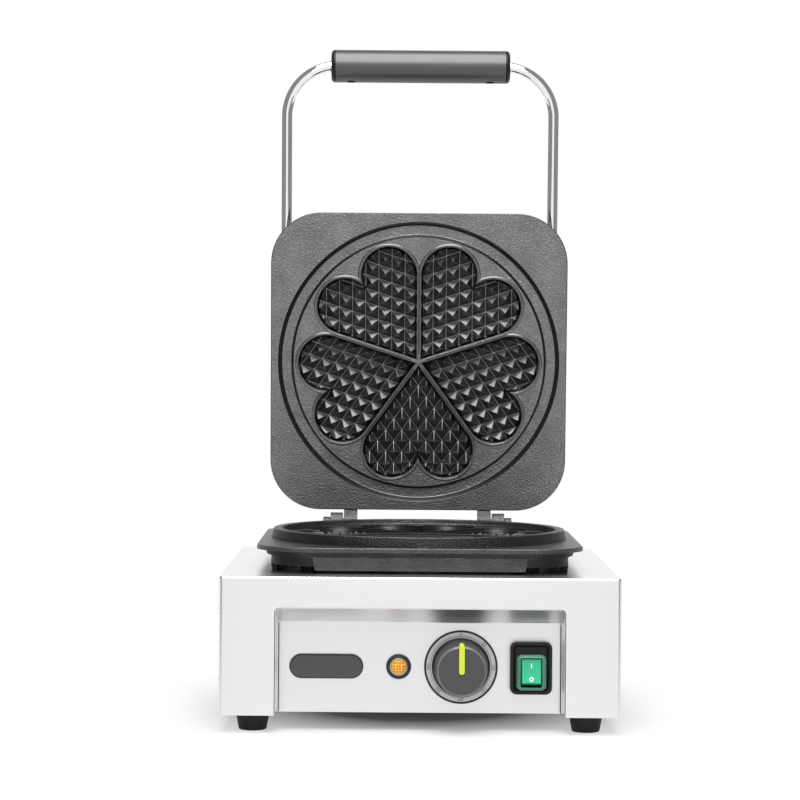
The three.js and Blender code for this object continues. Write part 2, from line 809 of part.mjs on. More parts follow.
// Gland with its wall's outer face at z = 0 and its nose up
function gland(sheet) {
  const nose = gap + glandFlangeThickness;
  const inside = -sheet - glandThreadLength;
  return turned([
    [glandBore, inside],
    [glandThread, inside],
    [glandThread, gap],
    [glandFlange, gap],
    [glandFlange, nose],
    [glandNose, nose + glandNoseLength],
    [glandBore, nose + glandNoseLength],
  ], glandSides);
}

function terminalBlock() {
  const half = terminalWidth / 2;
  const foot = terminalDepth / 2;
  const ridge = foot / 2;
  const low = caseSheet + gap;
  return join(
    block(-half, half, -foot, foot, low, low + terminalHeight / 2),
    block(-half, half, -ridge, ridge, low, low + terminalHeight));
}

// Lower plate, in a frame with its baking land at z = 0 and its middle at x = y = 0
function lowerPlate() {
  const crest = wellDepth;
  const bury = -landRise - root;
  const collar = turned([
    [0, bury],
    [collarFoot, bury],
    [collarFoot, -landRise],
    [collarCrest, crest - collarRound],
    [collarCrest - collarRound, crest],
    [wellRadius + collarRound, crest],
    [wellRadius, crest - collarRound],
    [wellRadius, 0],
    [0, 0],
  ], roundSides);
  const wallX = plateWidth / 2 - bodyInset;
  const wallY = plateDepth / 2 - bodyInset;
  const skirtLow = underside - skirtDrop;
  const rootHigh = underside + root;
  const footLow = underside - plateStand + gap;
  const skirts = [-1, 1].flatMap((side) => [
    block(-skirtWidth / 2, skirtWidth / 2,
      Math.min(side * wallY, side * (wallY - skirtThickness)),
      Math.max(side * wallY, side * (wallY - skirtThickness)), skirtLow, rootHigh),
    block(Math.min(side * wallX, side * (wallX - skirtThickness)),
      Math.max(side * wallX, side * (wallX - skirtThickness)),
      -skirtWidth / 2, skirtWidth / 2, skirtLow, rootHigh),
  ]);
  const legs = [-1, 1].flatMap((sideX) => [-1, 1].map((sideY) => {
    const x = sideX * (wallX - legThickness / 2);
    const y = sideY * (plateDepth / 2 - legSetback - legLength / 2);
    return block(x - legThickness / 2, x + legThickness / 2, y - legLength / 2, y + legLength / 2,
      footLow, rootHigh);
  }));
  const bosses = atCorners(bossOffset, bossOffset);
  const knuckles = sides.map(([, side]) => knuckle(side));
  const turnUnder = (geometry) => geometry.rotateY(halfTurn).translate(0, 0, underside);
  const body = join(
    plateBlank(rimDepth).rotateY(halfTurn).translate(0, 0, -landRise),
    collar,
    ...skirts,
    ...legs,
    ...bosses.map(([x, y]) => column(bossRadius, footLow, rootHigh, x, y, middleSides)),
    ...knuckles,
    turnUnder(column(clampPostRadius, -root, heaterProud, 0, 0, middleSides)));
  const drilled = cut(
    body,
    ...bosses.map(([x, y]) => column(boltRadius + play, footLow - overrun, footLow + boltBite, x, y)),
    turnUnder(heaterChannel()),
    turnUnder(column(clampScrewRadius + play, -clampScrewBite, heaterProud + overrun)),
    ...sides.map(([, side]) => pinHole(side * knuckleStart, side * (knuckleStart + knuckleWidth))));
  return cutHearts(drilled, false);
}

// Knuckle that carries a hinge pin behind the lower plate
function knuckle(side) {
  const arm = [
    [-hingeSetback, -landRise - edgeRound],
    [-hingeSetback - lipInset - root, -landRise - edgeRound],
    [-hingeSetback - bodyInset - root, -landRise - rimDepth + edgeRound],
  ];
  const eye = hingeEye(arm, side * knuckleStart, side * (knuckleStart + knuckleWidth));
  return eye.translate(0, lidMiddle, 0);
}

// Upper plate, in a frame with its baking land at z = 0 and its back above
function upperPlate() {
  const back = upperThickness;
  const arm = [
    [-hingeSetback - bodyInset - root, faceGap + coveDepth + root],
    [-hingeSetback - bodyInset - root, faceGap + edgeRound],
    [-hingeSetback, faceGap + edgeRound],
  ];
  const lugs = sides.map(([, side]) =>
    hingeEye(arm, side * lugStart, side * (lugStart + lugWidth)).translate(0, lidMiddle, -faceGap));
  const pillarTop = back + gap + coverHeight - coverSheet - gap;
  const groove = turned([
    [wellRadius - grooveInnerAir, -overrun],
    [collarCrest + grooveOuterAir, -overrun],
    [collarCrest + grooveOuterAir, wellDepth - faceGap + grooveFloorAir],
    [wellRadius - grooveInnerAir, wellDepth - faceGap + grooveFloorAir],
  ], roundSides);
  const body = join(
    plateBlank(back),
    ...lugs,
    column(clampPostRadius, back - root, back + heaterProud, 0, 0, middleSides),
    ...pillarPlaces.map(([x, y]) => column(pillarRadius, back - root, pillarTop, x, y)));
  const drilled = cut(
    body,
    groove,
    heaterChannel().translate(0, 0, back),
    column(clampScrewRadius + play, back - clampScrewBite, back + heaterProud + overrun),
    ...pillarPlaces.map(([x, y]) =>
      column(lidScrewRadius + play, pillarTop - lidScrewBite, pillarTop + overrun, x, y)),
    ...sides.map(([, side]) =>
      pinHole(side * lugStart, side * (lugStart + lugWidth)).translate(0, 0, -faceGap)));
  return cutHearts(drilled, true);
}

const pillarPlaces = atCorners(pillarSpreadX / 2, pillarSpreadY / 2);

function lidCover() {
  const inner = coverInset + coverSheet;
  const innerTop = coverHeight - coverSheet;
  const rear = plateDepth / 2 - coverInset;
  const outside = [[coverInset, 0], ...bendRings(coverInset, coverBend, coverHeight)];
  const inside = [[inner, -overrun], ...bendRings(inner, coverBend - coverSheet, innerTop)];
  return cut(
    loft(plateWidth, plateDepth, plateCorner, outside, cornerSteps),
    loft(plateWidth, plateDepth, plateCorner, inside, cornerSteps),
    bar(glandThread + play, rear - coverSheet - overrun, rear + overrun, 0, coverHeight / 2),
    ...pillarPlaces.map((place) => hole(lidScrewRadius, innerTop, coverHeight, place)));
}

// Hinge pin, pressed in a knuckle and free in the lid's lug
function hingePin(side) {
  const end = knuckleStart + knuckleWidth + gap;
  return join(
    axle(hingePinRadius, side * (lugStart + overrun), side * (end + overrun), 0, 0, smallSides),
    axle(hingeHeadRadius, side * end, side * (end + hingeHeadLength)));
}

// Handle rod in the plane z = 0, with the hinge axis at y = 0
function handleRod() {
  const steps = 8;
  const bendY = -gripReach + rodBend;
  const stations = [];
  for (const [, side] of sides) {
    const half = [new THREE.Vector3(side * rodX, -rodEnd, 0)];
    for (let i = 0; i <= steps; i++) {
      const turn = quarterTurn * i / steps;
      const x = rodX - rodBend * (1 - Math.cos(turn));
      half.push(new THREE.Vector3(side * x, bendY - rodBend * Math.sin(turn), 0));
    }
    stations.push(...(side < 0 ? half : half.reverse()));
  }
  const screwHoles = gripScrewPlaces.map((x) =>
    inGrip(column(gripScrewRadius + play, -rodRadius - overrun, -rodRadius + gripScrewBite + gap), x));
  return cut(tube(stations, rodRadius, rodSteps), ...screwHoles);
}

const gripScrewPlaces = sides.map(([, side]) => side * (gripLength / 2 - gripScrewInset));

// Turns a body on the grip's axis to the side that its screws go in from
function inGrip(geometry, x) {
  return geometry.rotateX(gripScrewTurn).translate(x, -gripReach, 0);
}

function handleGrip() {
  const half = gripLength / 2;
  const bore = rodRadius + gripBoreAir;
  const end = bendRings(0, gripRound, half).map(([inset, height]) => [gripRadius - inset, height]);
  const other = [...end].reverse().map(([radius, height]) => [radius, -height]);
  const sleeve = turned([[bore, -half], ...other, ...end, [bore, half]], middleSides);
  sleeve.rotateY(quarterTurn).translate(0, -gripReach, 0);
  return cut(
    sleeve,
    ...gripScrewPlaces.flatMap((x) => [
      inGrip(column(gripScrewHeadRadius + play, -gripRadius - overrun, gripScrewSink - gripRadius), x),
      inGrip(column(gripScrewRadius + play, -gripRadius, 0), x),
    ]));
}

function gripScrew(x) {
  const seat = gripScrewSink - gripRadius - gap;
  const end = -rodRadius + gripScrewBite;
  return join(
    inGrip(column(gripScrewHeadRadius, seat - screwHeadHeight, seat), x),
    inGrip(column(gripScrewRadius, seat - screwHeadHeight / 2, end), x));
}

// Strap round the right leg of the rod, fixed to the lid cover's wall
function saddle() {
  const start = coverHalf + gap;
  const end = start + saddleWall;
  const half = saddleLength / 2;
  const reach = rodRadius + saddleFoot;
  const hump = rodRadius + play + saddleWall;
  const hollow = rodRadius + play;
  const long = half + overrun;
  return cut(
    join(block(start, end, -half, half, -reach, reach), bar(hump, -half, half, rodX)),
    bar(hollow, -long, long, rodX),
    block(start - overrun, rodX, -long, long, -hollow, hollow),
    block(rodX - hump - overrun, start, -long, long, -hump - overrun, hump + overrun));
}

// Controls, in a frame with the panel's face at z = 0, y up and z towards the user
function badgePlate() {
  const outline = roundedRect(badgeWidth, badgeHeight, badgeHeight / 2, cornerSteps);
  return raised(outline, gap, gap + badgeThickness);
}

function dialRing() {
  const inner = knobRadius + knobAir;
  return turned([
    [inner, gap],
    [dialRadius, gap],
    [dialRadius, gap + dialThickness],
    [inner, gap + dialThickness],
  ]);
}

function knobRadiusAt(rise) {
  const share = (rise - coneFootRise) / (coneTopRise - coneFootRise);
  return knobRadius - coneFootInset - (coneTopInset - coneFootInset) * share;
}

// Outline of the pointer, or of its slot, in [outward, towards the user]
function pointerOutline(inward, outward) {
  const front = gap + knobLength;
  const end = front - pointerReturn;
  const rim = knobRadius - capInset;
  const low = knobRadiusAt(end - gap);
  return polygon(
    [-inward, front - inward],
    [rim - inward, front - inward],
    [low - inward, end - gap + pointerSunk - inward],
    [low + outward, end - gap + pointerSunk - inward],
    [rim + outward, front + outward],
    [-inward, front + outward]);
}

function thermostatKnob() {
  const low = 2 * gap;
  const front = gap + knobLength;
  const hole = shaftRadius + play;
  const holeEnd = low + shaftInKnob + gap;
  const body = turned([
    [0, holeEnd],
    [hole, holeEnd],
    [hole, low],
    [knobRadius, low],
    [knobRadius, low + knobSkirt],
    [knobRadius - coneFootInset, gap + coneFootRise],
    [knobRadius - coneTopInset, gap + coneTopRise],
    [knobRadius - capInset, front - capBevel],
    [knobRadius - capInset - capBevel, front],
    [0, front],
  ]);
  const slotHalf = pointerWidth / 2 + gap;
  const slot = alongX(pointerOutline(pointerSunk + gap, pointerProud + overrun), -slotHalf, slotHalf);
  return cut(body, slot);
}

function knobPointer() {
  return alongX(pointerOutline(pointerSunk, pointerProud), -pointerWidth / 2, pointerWidth / 2);
}

function thermostatBody() {
  const front = -caseSheet - gap;
  return cut(
    block(-thermostatWidth / 2, thermostatWidth / 2, -thermostatHeight / 2, thermostatHeight / 2,
      front - thermostatDepth, front),
    column(shaftRadius + play, front - shaftInBody - gap, front + overrun));
}

function lampBezel() {
  const foot = gap;
  return turned([
    [0, -lampBarrelLength],
    [lampBarrelRadius, -lampBarrelLength],
    [lampBarrelRadius, foot],
    [lampBezelRadius, foot],
    [lampBezelRadius, foot + lampBezelThickness - lampBezelChamfer],
    [lampBezelRadius - lampBezelChamfer, foot + lampBezelThickness],
    [lensRadius + play, foot + lampBezelThickness],
    [lensRadius + play, foot + lampSeat],
    [0, foot + lampSeat],
  ], middleSides);
}

function lampLens() {
  const low = gap + lampSeat + gap;
  const domeSteps = 5;
  const straight = lensWall;
  const dome = [];
  for (let i = 0; i <= domeSteps; i++) {
    const turn = quarterTurn * i / domeSteps;
    dome.push([lensRadius * Math.cos(turn), low + straight + (lensRise - straight) * Math.sin(turn)]);
  }
  dome[domeSteps][0] = 0;
  return turned([[0, low], [lensRadius, low], ...dome], middleSides);
}

// Room that the rocker swings in
function rockerWell(low, high) {
  const halfX = rockerWidth / 2 + rockerSideAir;
  const halfY = rockerHeight / 2 + rockerSwingAir;
  return block(-halfX, halfX, -bootLow - halfY, -bootLow + halfY, low, high);
}

function switchFrame() {
  const floor = gap + switchFloor;
  const front = gap + switchProud;
  const pocket = roundedRect(pocketWidth, pocketHeight, switchCorner - switchRim);
  return cut(
    join(
      raised(roundedRect(switchWidth, switchHeight, switchCorner, cornerSteps), gap, front),
      block(-switchBodyWidth / 2, switchBodyWidth / 2, -switchBodyHeight / 2, switchBodyHeight / 2,
        -switchBodyDepth, floor)),
    raised(pocket, floor, front + overrun),
    rockerWell(-rockerBack - root, floor + overrun));
}

function switchBoot() {
  const low = gap + switchFloor + gap;
  const flange = low + bootFlange;
  const top = low + bootRise;
  const skirt = roundedRect(pocketWidth - 2 * gap, pocketHeight - 2 * gap, switchCorner - switchRim);
  const dome = loft(bootWidth, bootHeight, bootCorner,
    [[0, low], [0, top - bootFlange], [bootFlange, top]], cornerSteps).translate(0, -bootLow, 0);
  return cut(join(dome, raised(skirt, low, flange)), rockerWell(low - overrun, top + overrun));
}

function switchRocker() {
  const half = rockerHeight / 2;
  const outline = polygon(
    [-half, -rockerBack],
    [half, -rockerBack],
    [half, rockerFace + rockerDish],
    [0, rockerFace],
    [-half, rockerFace + rockerDish]);
  return alongX(outline, -rockerWidth / 2, rockerWidth / 2);
}

// Assembly
const model = new THREE.Group();

const casing = addGroup(model, 0, caseDepth / 2, footHeight);
addPiece(casing, 'base_housing', baseHousing(), stainless);
addPiece(casing, 'control_panel', controlPanel(), stainless);
addPiece(casing, 'bottom_cover', bottomCover(), steel);
cornerNames.forEach((place, i) => {
  const [footX, footY] = footPlaces[i];
  addPiece(casing, `foot_${place}`, foot(), rubber).position.set(footX, footY, 0);
  const footScrewLength = caseSheet + gap + gap + footScrewBite;
  addPiece(casing, `foot_screw_${place}`, screw(footScrewRadius, footScrewLength), steel)
    .position.set(footX, footY, caseSheet + gap);
  const [screwX, screwY] = coverScrewPlaces[i];
  const coverScrew = addPiece(casing, `bottom_screw_${place}`,
    screw(coverScrewRadius, gap + lipHigh + coverScrewTail), steel);
  coverScrew.position.set(screwX, screwY, -gap);
  coverScrew.rotation.x = halfTurn;
  const [boltX, boltY] = boltPlaces[i];
  addPiece(casing, `plate_bolt_${place}`, plateBolt(), steel)
    .position.set(boltX, boltY, caseHeight - caseSheet - gap);
});
const cordGland = addPiece(casing, 'cord_gland', gland(caseSheet), blackPlastic);
cordGland.position.set(cordX, caseDepth / 2, cordRise);
const baseLeadGland = addPiece(casing, 'base_lead_gland', gland(caseSheet), blackPlastic);
baseLeadGland.position.set(0, caseDepth / 2, caseHeight - leadDrop);
[cordGland, baseLeadGland].forEach((piece) => { piece.rotation.x = -quarterTurn; });
addPiece(casing, 'terminal_block', terminalBlock(), ceramic)
  .position.set(cordX, caseDepth / 2 - terminalSetback, 0);

const controls = addGroup(casing, 0, caseFront + recessDepth, controlRise);
controls.rotation.x = quarterTurn;
addPiece(controls, 'badge_plate', badgePlate(), badgeGrey).position.x = badgeX;
addPiece(controls, 'lamp_bezel', lampBezel(), blackPlastic).position.x = lampX;
addPiece(controls, 'lamp_lens', lampLens(), amber).position.x = lampX;
addPiece(controls, 'dial_ring', dialRing(), dialSilver).position.x = dialX;
for (const [name, body, material] of [
  ['thermostat_knob', thermostatKnob(), knobPlastic],
  ['knob_pointer', knobPointer(), pointerPlastic],
  ['thermostat_body', thermostatBody(), steel],
  ['thermostat_shaft', column(shaftRadius, -caseSheet - gap - shaftInBody, 2 * gap + shaftInKnob), steel],
]) {
  addPiece(controls, name, body, material).position.x = dialX;
}
addPiece(controls, 'switch_frame', switchFrame(), blackPlastic).position.x = switchX;
addPiece(controls, 'switch_boot', switchBoot(), bootGreen).position.x = switchX;
const rocker = addPiece(controls, 'switch_rocker', switchRocker(), switchGreen);
rocker.position.set(switchX, -bootLow, rockerAxisRise);
rocker.rotation.x = -rockerTilt;

const lower = addGroup(model, 0, plateMiddle, landTop);
addPiece(lower, 'lower_waffle_plate', lowerPlate(), blackIron);
const lowerBack = addGroup(lower, 0, 0, underside);
lowerBack.rotation.y = halfTurn;
addPiece(lowerBack, 'lower_heater', heater(), heaterSteel);
addPiece(lowerBack, 'lower_heater_clamp', heaterClamp(), steel);
addPiece(lowerBack, 'lower_clamp_screw', clampScrew(), steel);
for (const [place, side] of sides) {
  addPiece(model, `hinge_pin_${place}`, hingePin(side), steel).position.set(0, hingeY, landTop);
}

const lid = addGroup(model, 0, hingeY, landTop);
lid.rotation.x = -openAngle;
const upper = addGroup(lid, 0, -lidMiddle, faceGap);
addPiece(upper, 'upper_waffle_plate', upperPlate(), greyIron);
const upperBack = addGroup(upper, 0, 0, upperThickness);
addPiece(upperBack, 'upper_heater', heater(), heaterSteel);
addPiece(upperBack, 'upper_heater_clamp', heaterClamp(), steel);
addPiece(upperBack, 'upper_clamp_screw', clampScrew(), steel);
const cover = addGroup(upperBack, 0, 0, gap);
addPiece(cover, 'lid_cover', lidCover(), stainless);
cornerNames.forEach((place, i) => {
  const [x, y] = pillarPlaces[i];
  addPiece(cover, `lid_screw_${place}`, screw(lidScrewRadius, coverSheet + gap + lidScrewBite), steel)
    .position.set(x, y, coverHeight + gap);
});
const lidGland = addPiece(cover, 'lid_lead_gland', gland(coverSheet), blackPlastic);
lidGland.position.set(0, plateDepth / 2 - coverInset, coverHeight / 2);
lidGland.rotation.x = -quarterTurn;

const handle = addGroup(lid, 0, 0, rodRise);
addPiece(handle, 'handle_rod', handleRod(), chrome);
addPiece(handle, 'handle_grip', handleGrip(), gripPlastic);
sides.forEach(([place, side], i) => {
  addPiece(handle, `grip_screw_${place}`, gripScrew(gripScrewPlaces[i]), steel);
  for (const [end, distance] of [['rear', saddleRear], ['front', saddleFront]]) {
    const strap = addPiece(handle, `handle_saddle_${end}_${place}`, saddle(), stainless);
    strap.position.y = -distance;
    strap.rotation.z = side < 0 ? halfTurn : 0;
  }
});

// The origin moves to the middle of the object's box
const bounds = new THREE.Box3().setFromObject(model, true);
model.position.y = -(bounds.min.y + bounds.max.y) / 2;

export default model;
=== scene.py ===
"""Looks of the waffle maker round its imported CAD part.

Lengths are millimetres until a mesh is made. Each piece is built in a frame of its own part of the
machine, such as the casing, a plate or the panel, and put in its place when it is finished.
"""
from math import acos, atan, atan2, ceil, cos, hypot, pi, radians, sin

import bmesh
import bpy
from mathutils import Matrix, Vector

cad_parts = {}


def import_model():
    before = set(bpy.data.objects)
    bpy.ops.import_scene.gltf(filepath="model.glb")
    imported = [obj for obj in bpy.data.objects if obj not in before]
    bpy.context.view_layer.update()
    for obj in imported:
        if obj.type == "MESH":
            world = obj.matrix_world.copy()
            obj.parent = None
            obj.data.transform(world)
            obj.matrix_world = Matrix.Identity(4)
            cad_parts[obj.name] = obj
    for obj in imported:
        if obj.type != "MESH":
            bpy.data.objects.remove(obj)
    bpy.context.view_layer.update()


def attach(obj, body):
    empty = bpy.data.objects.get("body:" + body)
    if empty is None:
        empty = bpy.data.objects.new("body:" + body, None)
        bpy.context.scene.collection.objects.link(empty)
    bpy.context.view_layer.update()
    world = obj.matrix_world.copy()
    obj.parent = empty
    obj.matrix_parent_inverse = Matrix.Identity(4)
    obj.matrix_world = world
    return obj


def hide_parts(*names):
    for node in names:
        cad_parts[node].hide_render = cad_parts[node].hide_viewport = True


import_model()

MM = 0.001
QUARTER = pi / 2
SIDES = (("left", -1), ("right", 1))
CORNERS = {"front_left": (-1, -1), "front_right": (1, -1), "rear_right": (1, 1), "rear_left": (-1, 1)}

# Smoothness
ROUND = 96
SMALL = 32
CORNER_STEPS = 14
TIGHT_STEPS = 6
FILLET_STEPS = 5
ROD_STEPS = 24
GRIP_STEPS = 8
DOME_STEPS = 10
FILLET_MOST_SHARE = 0.45
SMOOTH_BELOW = radians(35)
CAST_SMOOTH_BELOW = radians(21)
LEAST = 0.05

# Fits, as in the part
GAP = 0.3
OVERRUN = 1.0

# Casing
CASE_WIDTH = 304.0
CASE_DEPTH = 313.0
CASE_FRONT = -158.2
CASE_LOW = 13.5
CASE_HEIGHT = 105.0
CASE_SHEET = 1.5
CASE_CORNER = 3.0
CASE_TOP_BEND = 2.0
CASE_LIP = 12.0
LOUVRE_COUNT = 3
LOUVRE_LENGTH = 240.0
LOUVRE_HEIGHT = 8.0
LOUVRE_PROUD = 3.5
LOUVRE_FIRST_DROP = 25.5
LOUVRE_PITCH = 27.0
LOUVRE_SHEET = 0.9
LOUVRE_END = 9.0
LOUVRE_STEPS = 48
LOUVRE_ROWS = 8
RECESS_WIDTH = 220.0
RECESS_DEPTH = 20.0
RECESS_CORNER = 4.0
BAND_HEIGHT = 23.1
SLOPE_DROP = 12.4
PANEL_FLANGE = 6.0
PANEL_FOOT_RISE = 0.5
PANEL_FOLD = 1.0
RECESS_LEDGE = 0.7
RECESS_DRAFT = 2.3
SEAM_WIDTH = 0.5
SEAM_DEPTH = 4.0
CREASE_REACH = 4.0
NOTCH_AIR = 2.0
CORD_X = 95.0
CORD_RISE = 26.0
LEAD_DROP = 22.0
WINDOW_HALF = 27.0
WINDOW_START = 61.1
WINDOW_END = 80.0
CLAMP_HOLE_RADIUS = 7.4
BOLT_SPREAD = 170.0
BOLT_RADIUS = 3.4
COVER_SCREW_INSET = 7.5
COVER_SCREW_SPREAD = 190.0
COVER_SCREW_RADIUS = 2.4

# Feet
FOOT_HEIGHT = 13.5
FOOT_TOP = 13.0
FOOT_BOTTOM = 10.5
FOOT_EDGE = 1.4
FOOT_INSET = 25.0

# Plates
PLATE_WIDTH = 253.0
PLATE_DEPTH = 255.0
PLATE_CORNER = 43.0
PLATE_MIDDLE = -12.7
LAND_TOP = 142.4
EDGE_ROUND = 0.7
LIP = 3.3
LIP_INSET = 6.5
COVE_INSET = 8.0
COVE_DEPTH = 7.5
SHOULDER_INSET = 11.0
BODY_INSET = 12.0
LAND_RISE = 3.6
RIM_DEPTH = 15.0
WELL_DEPTH = 4.2
COLLAR_FOOT = 119.0
COLLAR_CREST = 117.0
WELL_RADIUS = 109.75
COLLAR_ROUND = 0.7
COLLAR_SINK = 2.0
WELL_FILLET = 1.2
SKIRT_WIDTH = 161.0
SKIRT_DROP = 3.2
SKIRT_THICKNESS = 4.0
SKIRT_PROUD = 0.9
SKIRT_ROUND = 1.2
SKIRT_SPREAD = 2.0
LEG_THICKNESS = 5.0
LEG_LENGTH = 18.0
LEG_SETBACK = 36.0
LEG_ROOT = 2.0
LEG_CORNER = 1.5
BOSS_RADIUS = 8.0
PLATE_STAND = 5.3
UPPER_THICKNESS = 17.0
GROOVE_INNER = 109.0
GROOVE_OUTER = 118.5
GROOVE_DEPTH = 4.5
GROOVE_DRAFT = 1.8
GROOVE_OUTER_DRAFT = 3.3
GROOVE_ROUND = 0.6
HEATER_RING = 70.0
HEATER_HALF = 4.4
HEATER_GROOVE = 6.0

# Hearts and their pyramids
HEARTS = 5
RIB = 1.8
HEART_REACH = 103.85
LOBE_ANGLE = radians(17)
HEART_DEPTH = 8.0
HEART_EDGE = 0.35
HEART_LEDGE_START = 0.1
HEART_LEDGE_END = 0.75
HEART_LEDGE_DEPTH = 1.5
HEART_LEDGE_ROUND = 0.3
HEART_DRAFT = 2.3
HEART_FILLET = 0.55
CREST_WIDTH = 0.8
CREST_FOOT = 1.9
CREST_HEIGHT = 0.6
CREST_ROUND = 0.25
RIB_LINE_HALF = 0.35
RIB_LINE_DEPTH = 0.5
RIB_LINE_START = 7.0
LOBE_STEPS = 36
STUD_PITCH = 11.2
STUD_HEIGHT = 4.7
STUD_INSET = 2.8
STUD_VALLEY = 0.22
STUD_TIP_SHARE = 0.05
STUD_CHAMFER_SHARE = 0.07
STUD_CHAMFER_MOST_SHARE = 0.35
FLAT_SHARE = 0.95

# Hinge
HINGE_Y = 125.2
HINGE_SETBACK = 10.4
HINGE_EYE = 8.0
HINGE_BORE = 3.4
HINGE_PIN = 3.0
HINGE_HEAD = 4.2
HINGE_HEAD_LENGTH = 6.0
HINGE_HEAD_ROUND = 0.8
ARM_ROOT = 2.0
LUG_START = 51.5
LUG_WIDTH = 11.5
KNUCKLE_START = 64.0
KNUCKLE_WIDTH = 10.5
OPEN_ANGLE = radians(85)
LID_MIDDLE = HINGE_SETBACK + PLATE_DEPTH / 2
FACE_GAP = 0.6
EYE_STEPS = 28

# Lid cover
COVER_INSET = 17.0
COVER_HEIGHT = 27.7
COVER_SHEET = 1.2
COVER_BEND = 6.0
PILLAR_X = 70.0
PILLAR_Y = 75.0
LID_SCREW_RADIUS = 2.4
LEAD_HOLE = 7.4

# Handle, measured from the hinge axis
ROD_RADIUS = 4.5
ROD_X = 114.4
ROD_RISE = 29.0
ROD_END = 128.0
ROD_BEND = 43.0
GRIP_REACH = 390.0
GRIP_RADIUS = 14.0
GRIP_LENGTH = 153.0
GRIP_ROUND = 6.0
GRIP_END_SHARE = 0.05
GRIP_BORE = 5.3
GRIP_SCREW_X = 59.5
GRIP_SCREW_HEAD = 3.2
GRIP_SCREW_SINK = 5.0
GRIP_SCREW_HEIGHT = 2.2
GRIP_SCREW_ROUND = 0.8
GRIP_SCREW_AIR = 0.6
SLOT_HALF = 0.4
SLOT_REACH = 2.2
SLOT_DEPTH = 1.0
GRIP_SCREW_TURN = radians(78)
SADDLE_FOOT = 6.0
SADDLE_WALL = 2.5
SADDLE_AIR = 0.4
SADDLE_LENGTH = 14.0
SADDLE_PLACES = (("rear", 150.0), ("front", 226.0))

# Controls
PANEL_Y = CASE_FRONT + RECESS_DEPTH
CONTROL_Z = 49.0
BADGE_X = -70.994
BADGE_WIDTH = 56.3
BADGE_HEIGHT = 18.6
BADGE_THICKNESS = 1.2
BADGE_BORDER = 1.0
# Drop of the badge's face, which widens the painted shadow along its top
BADGE_SHADOW_SHIFT = 0.25
LAMP_X = -15.994
LAMP_BEZEL = 9.5
LAMP_THICKNESS = 3.0
LAMP_CHAMFER = 1.6
LAMP_BARREL = 6.0
LAMP_BARREL_LENGTH = 18.0
LAMP_SEAT = 1.2
LAMP_TRIM = 0.6
LAMP_HOLE = 6.4
LENS_RADIUS = 5.8
LENS_LOW = 1.8
LENS_WALL = 2.2
LENS_RISE = 6.5
LENS_RIBS = 8
LENS_RIPPLE = 0.7
DIAL_X = 31.394
DIAL_RADIUS = 28.0
DIAL_THICKNESS = 0.9
DIAL_EDGE = 1.6
DIAL_STEP = 50
DIAL_LAST = 300
NUMBER_SIZE = 3.3
NUMBER_HEIGHT = 0.04
KNOB_RADIUS = 22.3
KNOB_LENGTH = 30.0
KNOB_AIR = 0.7
KNOB_SKIRT = 3.0
CONE_FOOT_INSET = 1.7
CONE_FOOT_RISE = 6.0
CONE_TOP_INSET = 3.0
CONE_TOP_RISE = 20.0
CAP_INSET = 3.4
CAP_BEVEL = 1.5
CAP_RISE = 0.3
KNOB_HIGHLIGHT_SHARE = 0.3
SHAFT_HOLE = 3.4
POINTER_WIDTH = 4.2
POINTER_ROUND = 1.9
POINTER_SUNK = 1.2
POINTER_PROUD = 0.6
POINTER_RETURN = 15.0
SWITCH_X = 84.59
SWITCH_WIDTH = 31.8
SWITCH_HEIGHT = 39.8
SWITCH_CORNER = 5.0
SWITCH_PROUD = 6.0
SWITCH_RIM = 3.2
SWITCH_FLOOR = 1.8
BOOT_WIDTH = 22.4
BOOT_HEIGHT = 26.8
BOOT_CORNER = 4.0
BOOT_RISE = 10.0
BOOT_FLANGE = 1.6
BOOT_LOW = 2.8
BOOT_BEVEL = 1.6
BOOT_RIM = 0.8
BOOT_DIP = 2.6
SWITCH_BODY_MARGIN = 2.4
SWITCH_BODY_DEPTH = 22.0
SWITCH_LEAD_IN = 0.8
ROCKER_WIDTH = 14.3
ROCKER_HEIGHT = 18.0
ROCKER_FACE = 8.4
ROCKER_DISH = 0.8
ROCKER_BACK = 4.0
ROCKER_SKIRT = 1.6
ROCKER_SKIRT_RISE = 3.0
ROCKER_SIDE_AIR = 0.6
ROCKER_SWING_AIR = 2.2
ROCKER_AXIS = 3.0
ROCKER_TILT = radians(8)
ROCKER_GRID = 1.2
LENS_GRID = 2.2
MARK_LINE = 0.9
MARK_HEIGHT = 3.6
MARK_DEPTH = 0.3
MARK_ON_Y = 4.0
MARK_OFF_Y = -6.1

# Skins of the materials
BRUSHED_TOP_SHARE = 0.6
BRUSHED_SPREAD = 0.04
BRUSHED_STRENGTH = 0.008
BRUSHED_DEPTH = 0.0002
TURNED_SHARE = 0.7
GRAIN_DETAIL = 4.0
BLOTCH_DETAIL = 3.0
BLOTCH_CELLS = 12
BLOTCH_SHARE = 0.4
CAST_DEPTH_SHARE = 0.8
NOISE_LOW = 0.3
NOISE_HIGH = 0.7
DOT_LOW = -1.0
DOT_HIGH = 1.5

# Stage, in metres, watts and levels of white
WHITE = (1, 1, 1, 1)
FLOOR_HALF = 8.0
FLOOR_GREY = 0.72
FADE_START = 0.08
FADE_END = 0.27
FADE_LEAST_SHARE = 0.02
AMBIENT = 0.35
CARD_X = 0.8
CARD_SPLIT = 0.22
CARD_TOP = 2.0
CARD_FAR = 1.6
OVER_NEAR = 0.2
OVER_LEVEL = 0.12
# Each card's name, near and far end, low and high edge, and level
CARDS = (("near", -1.75, -1.2, CARD_SPLIT, CARD_TOP, 0.12),
         ("far", -1.2, CARD_FAR, CARD_SPLIT, CARD_TOP, 0.27),
         ("low", -1.35, -0.35, 0.0, CARD_SPLIT, 0.25))
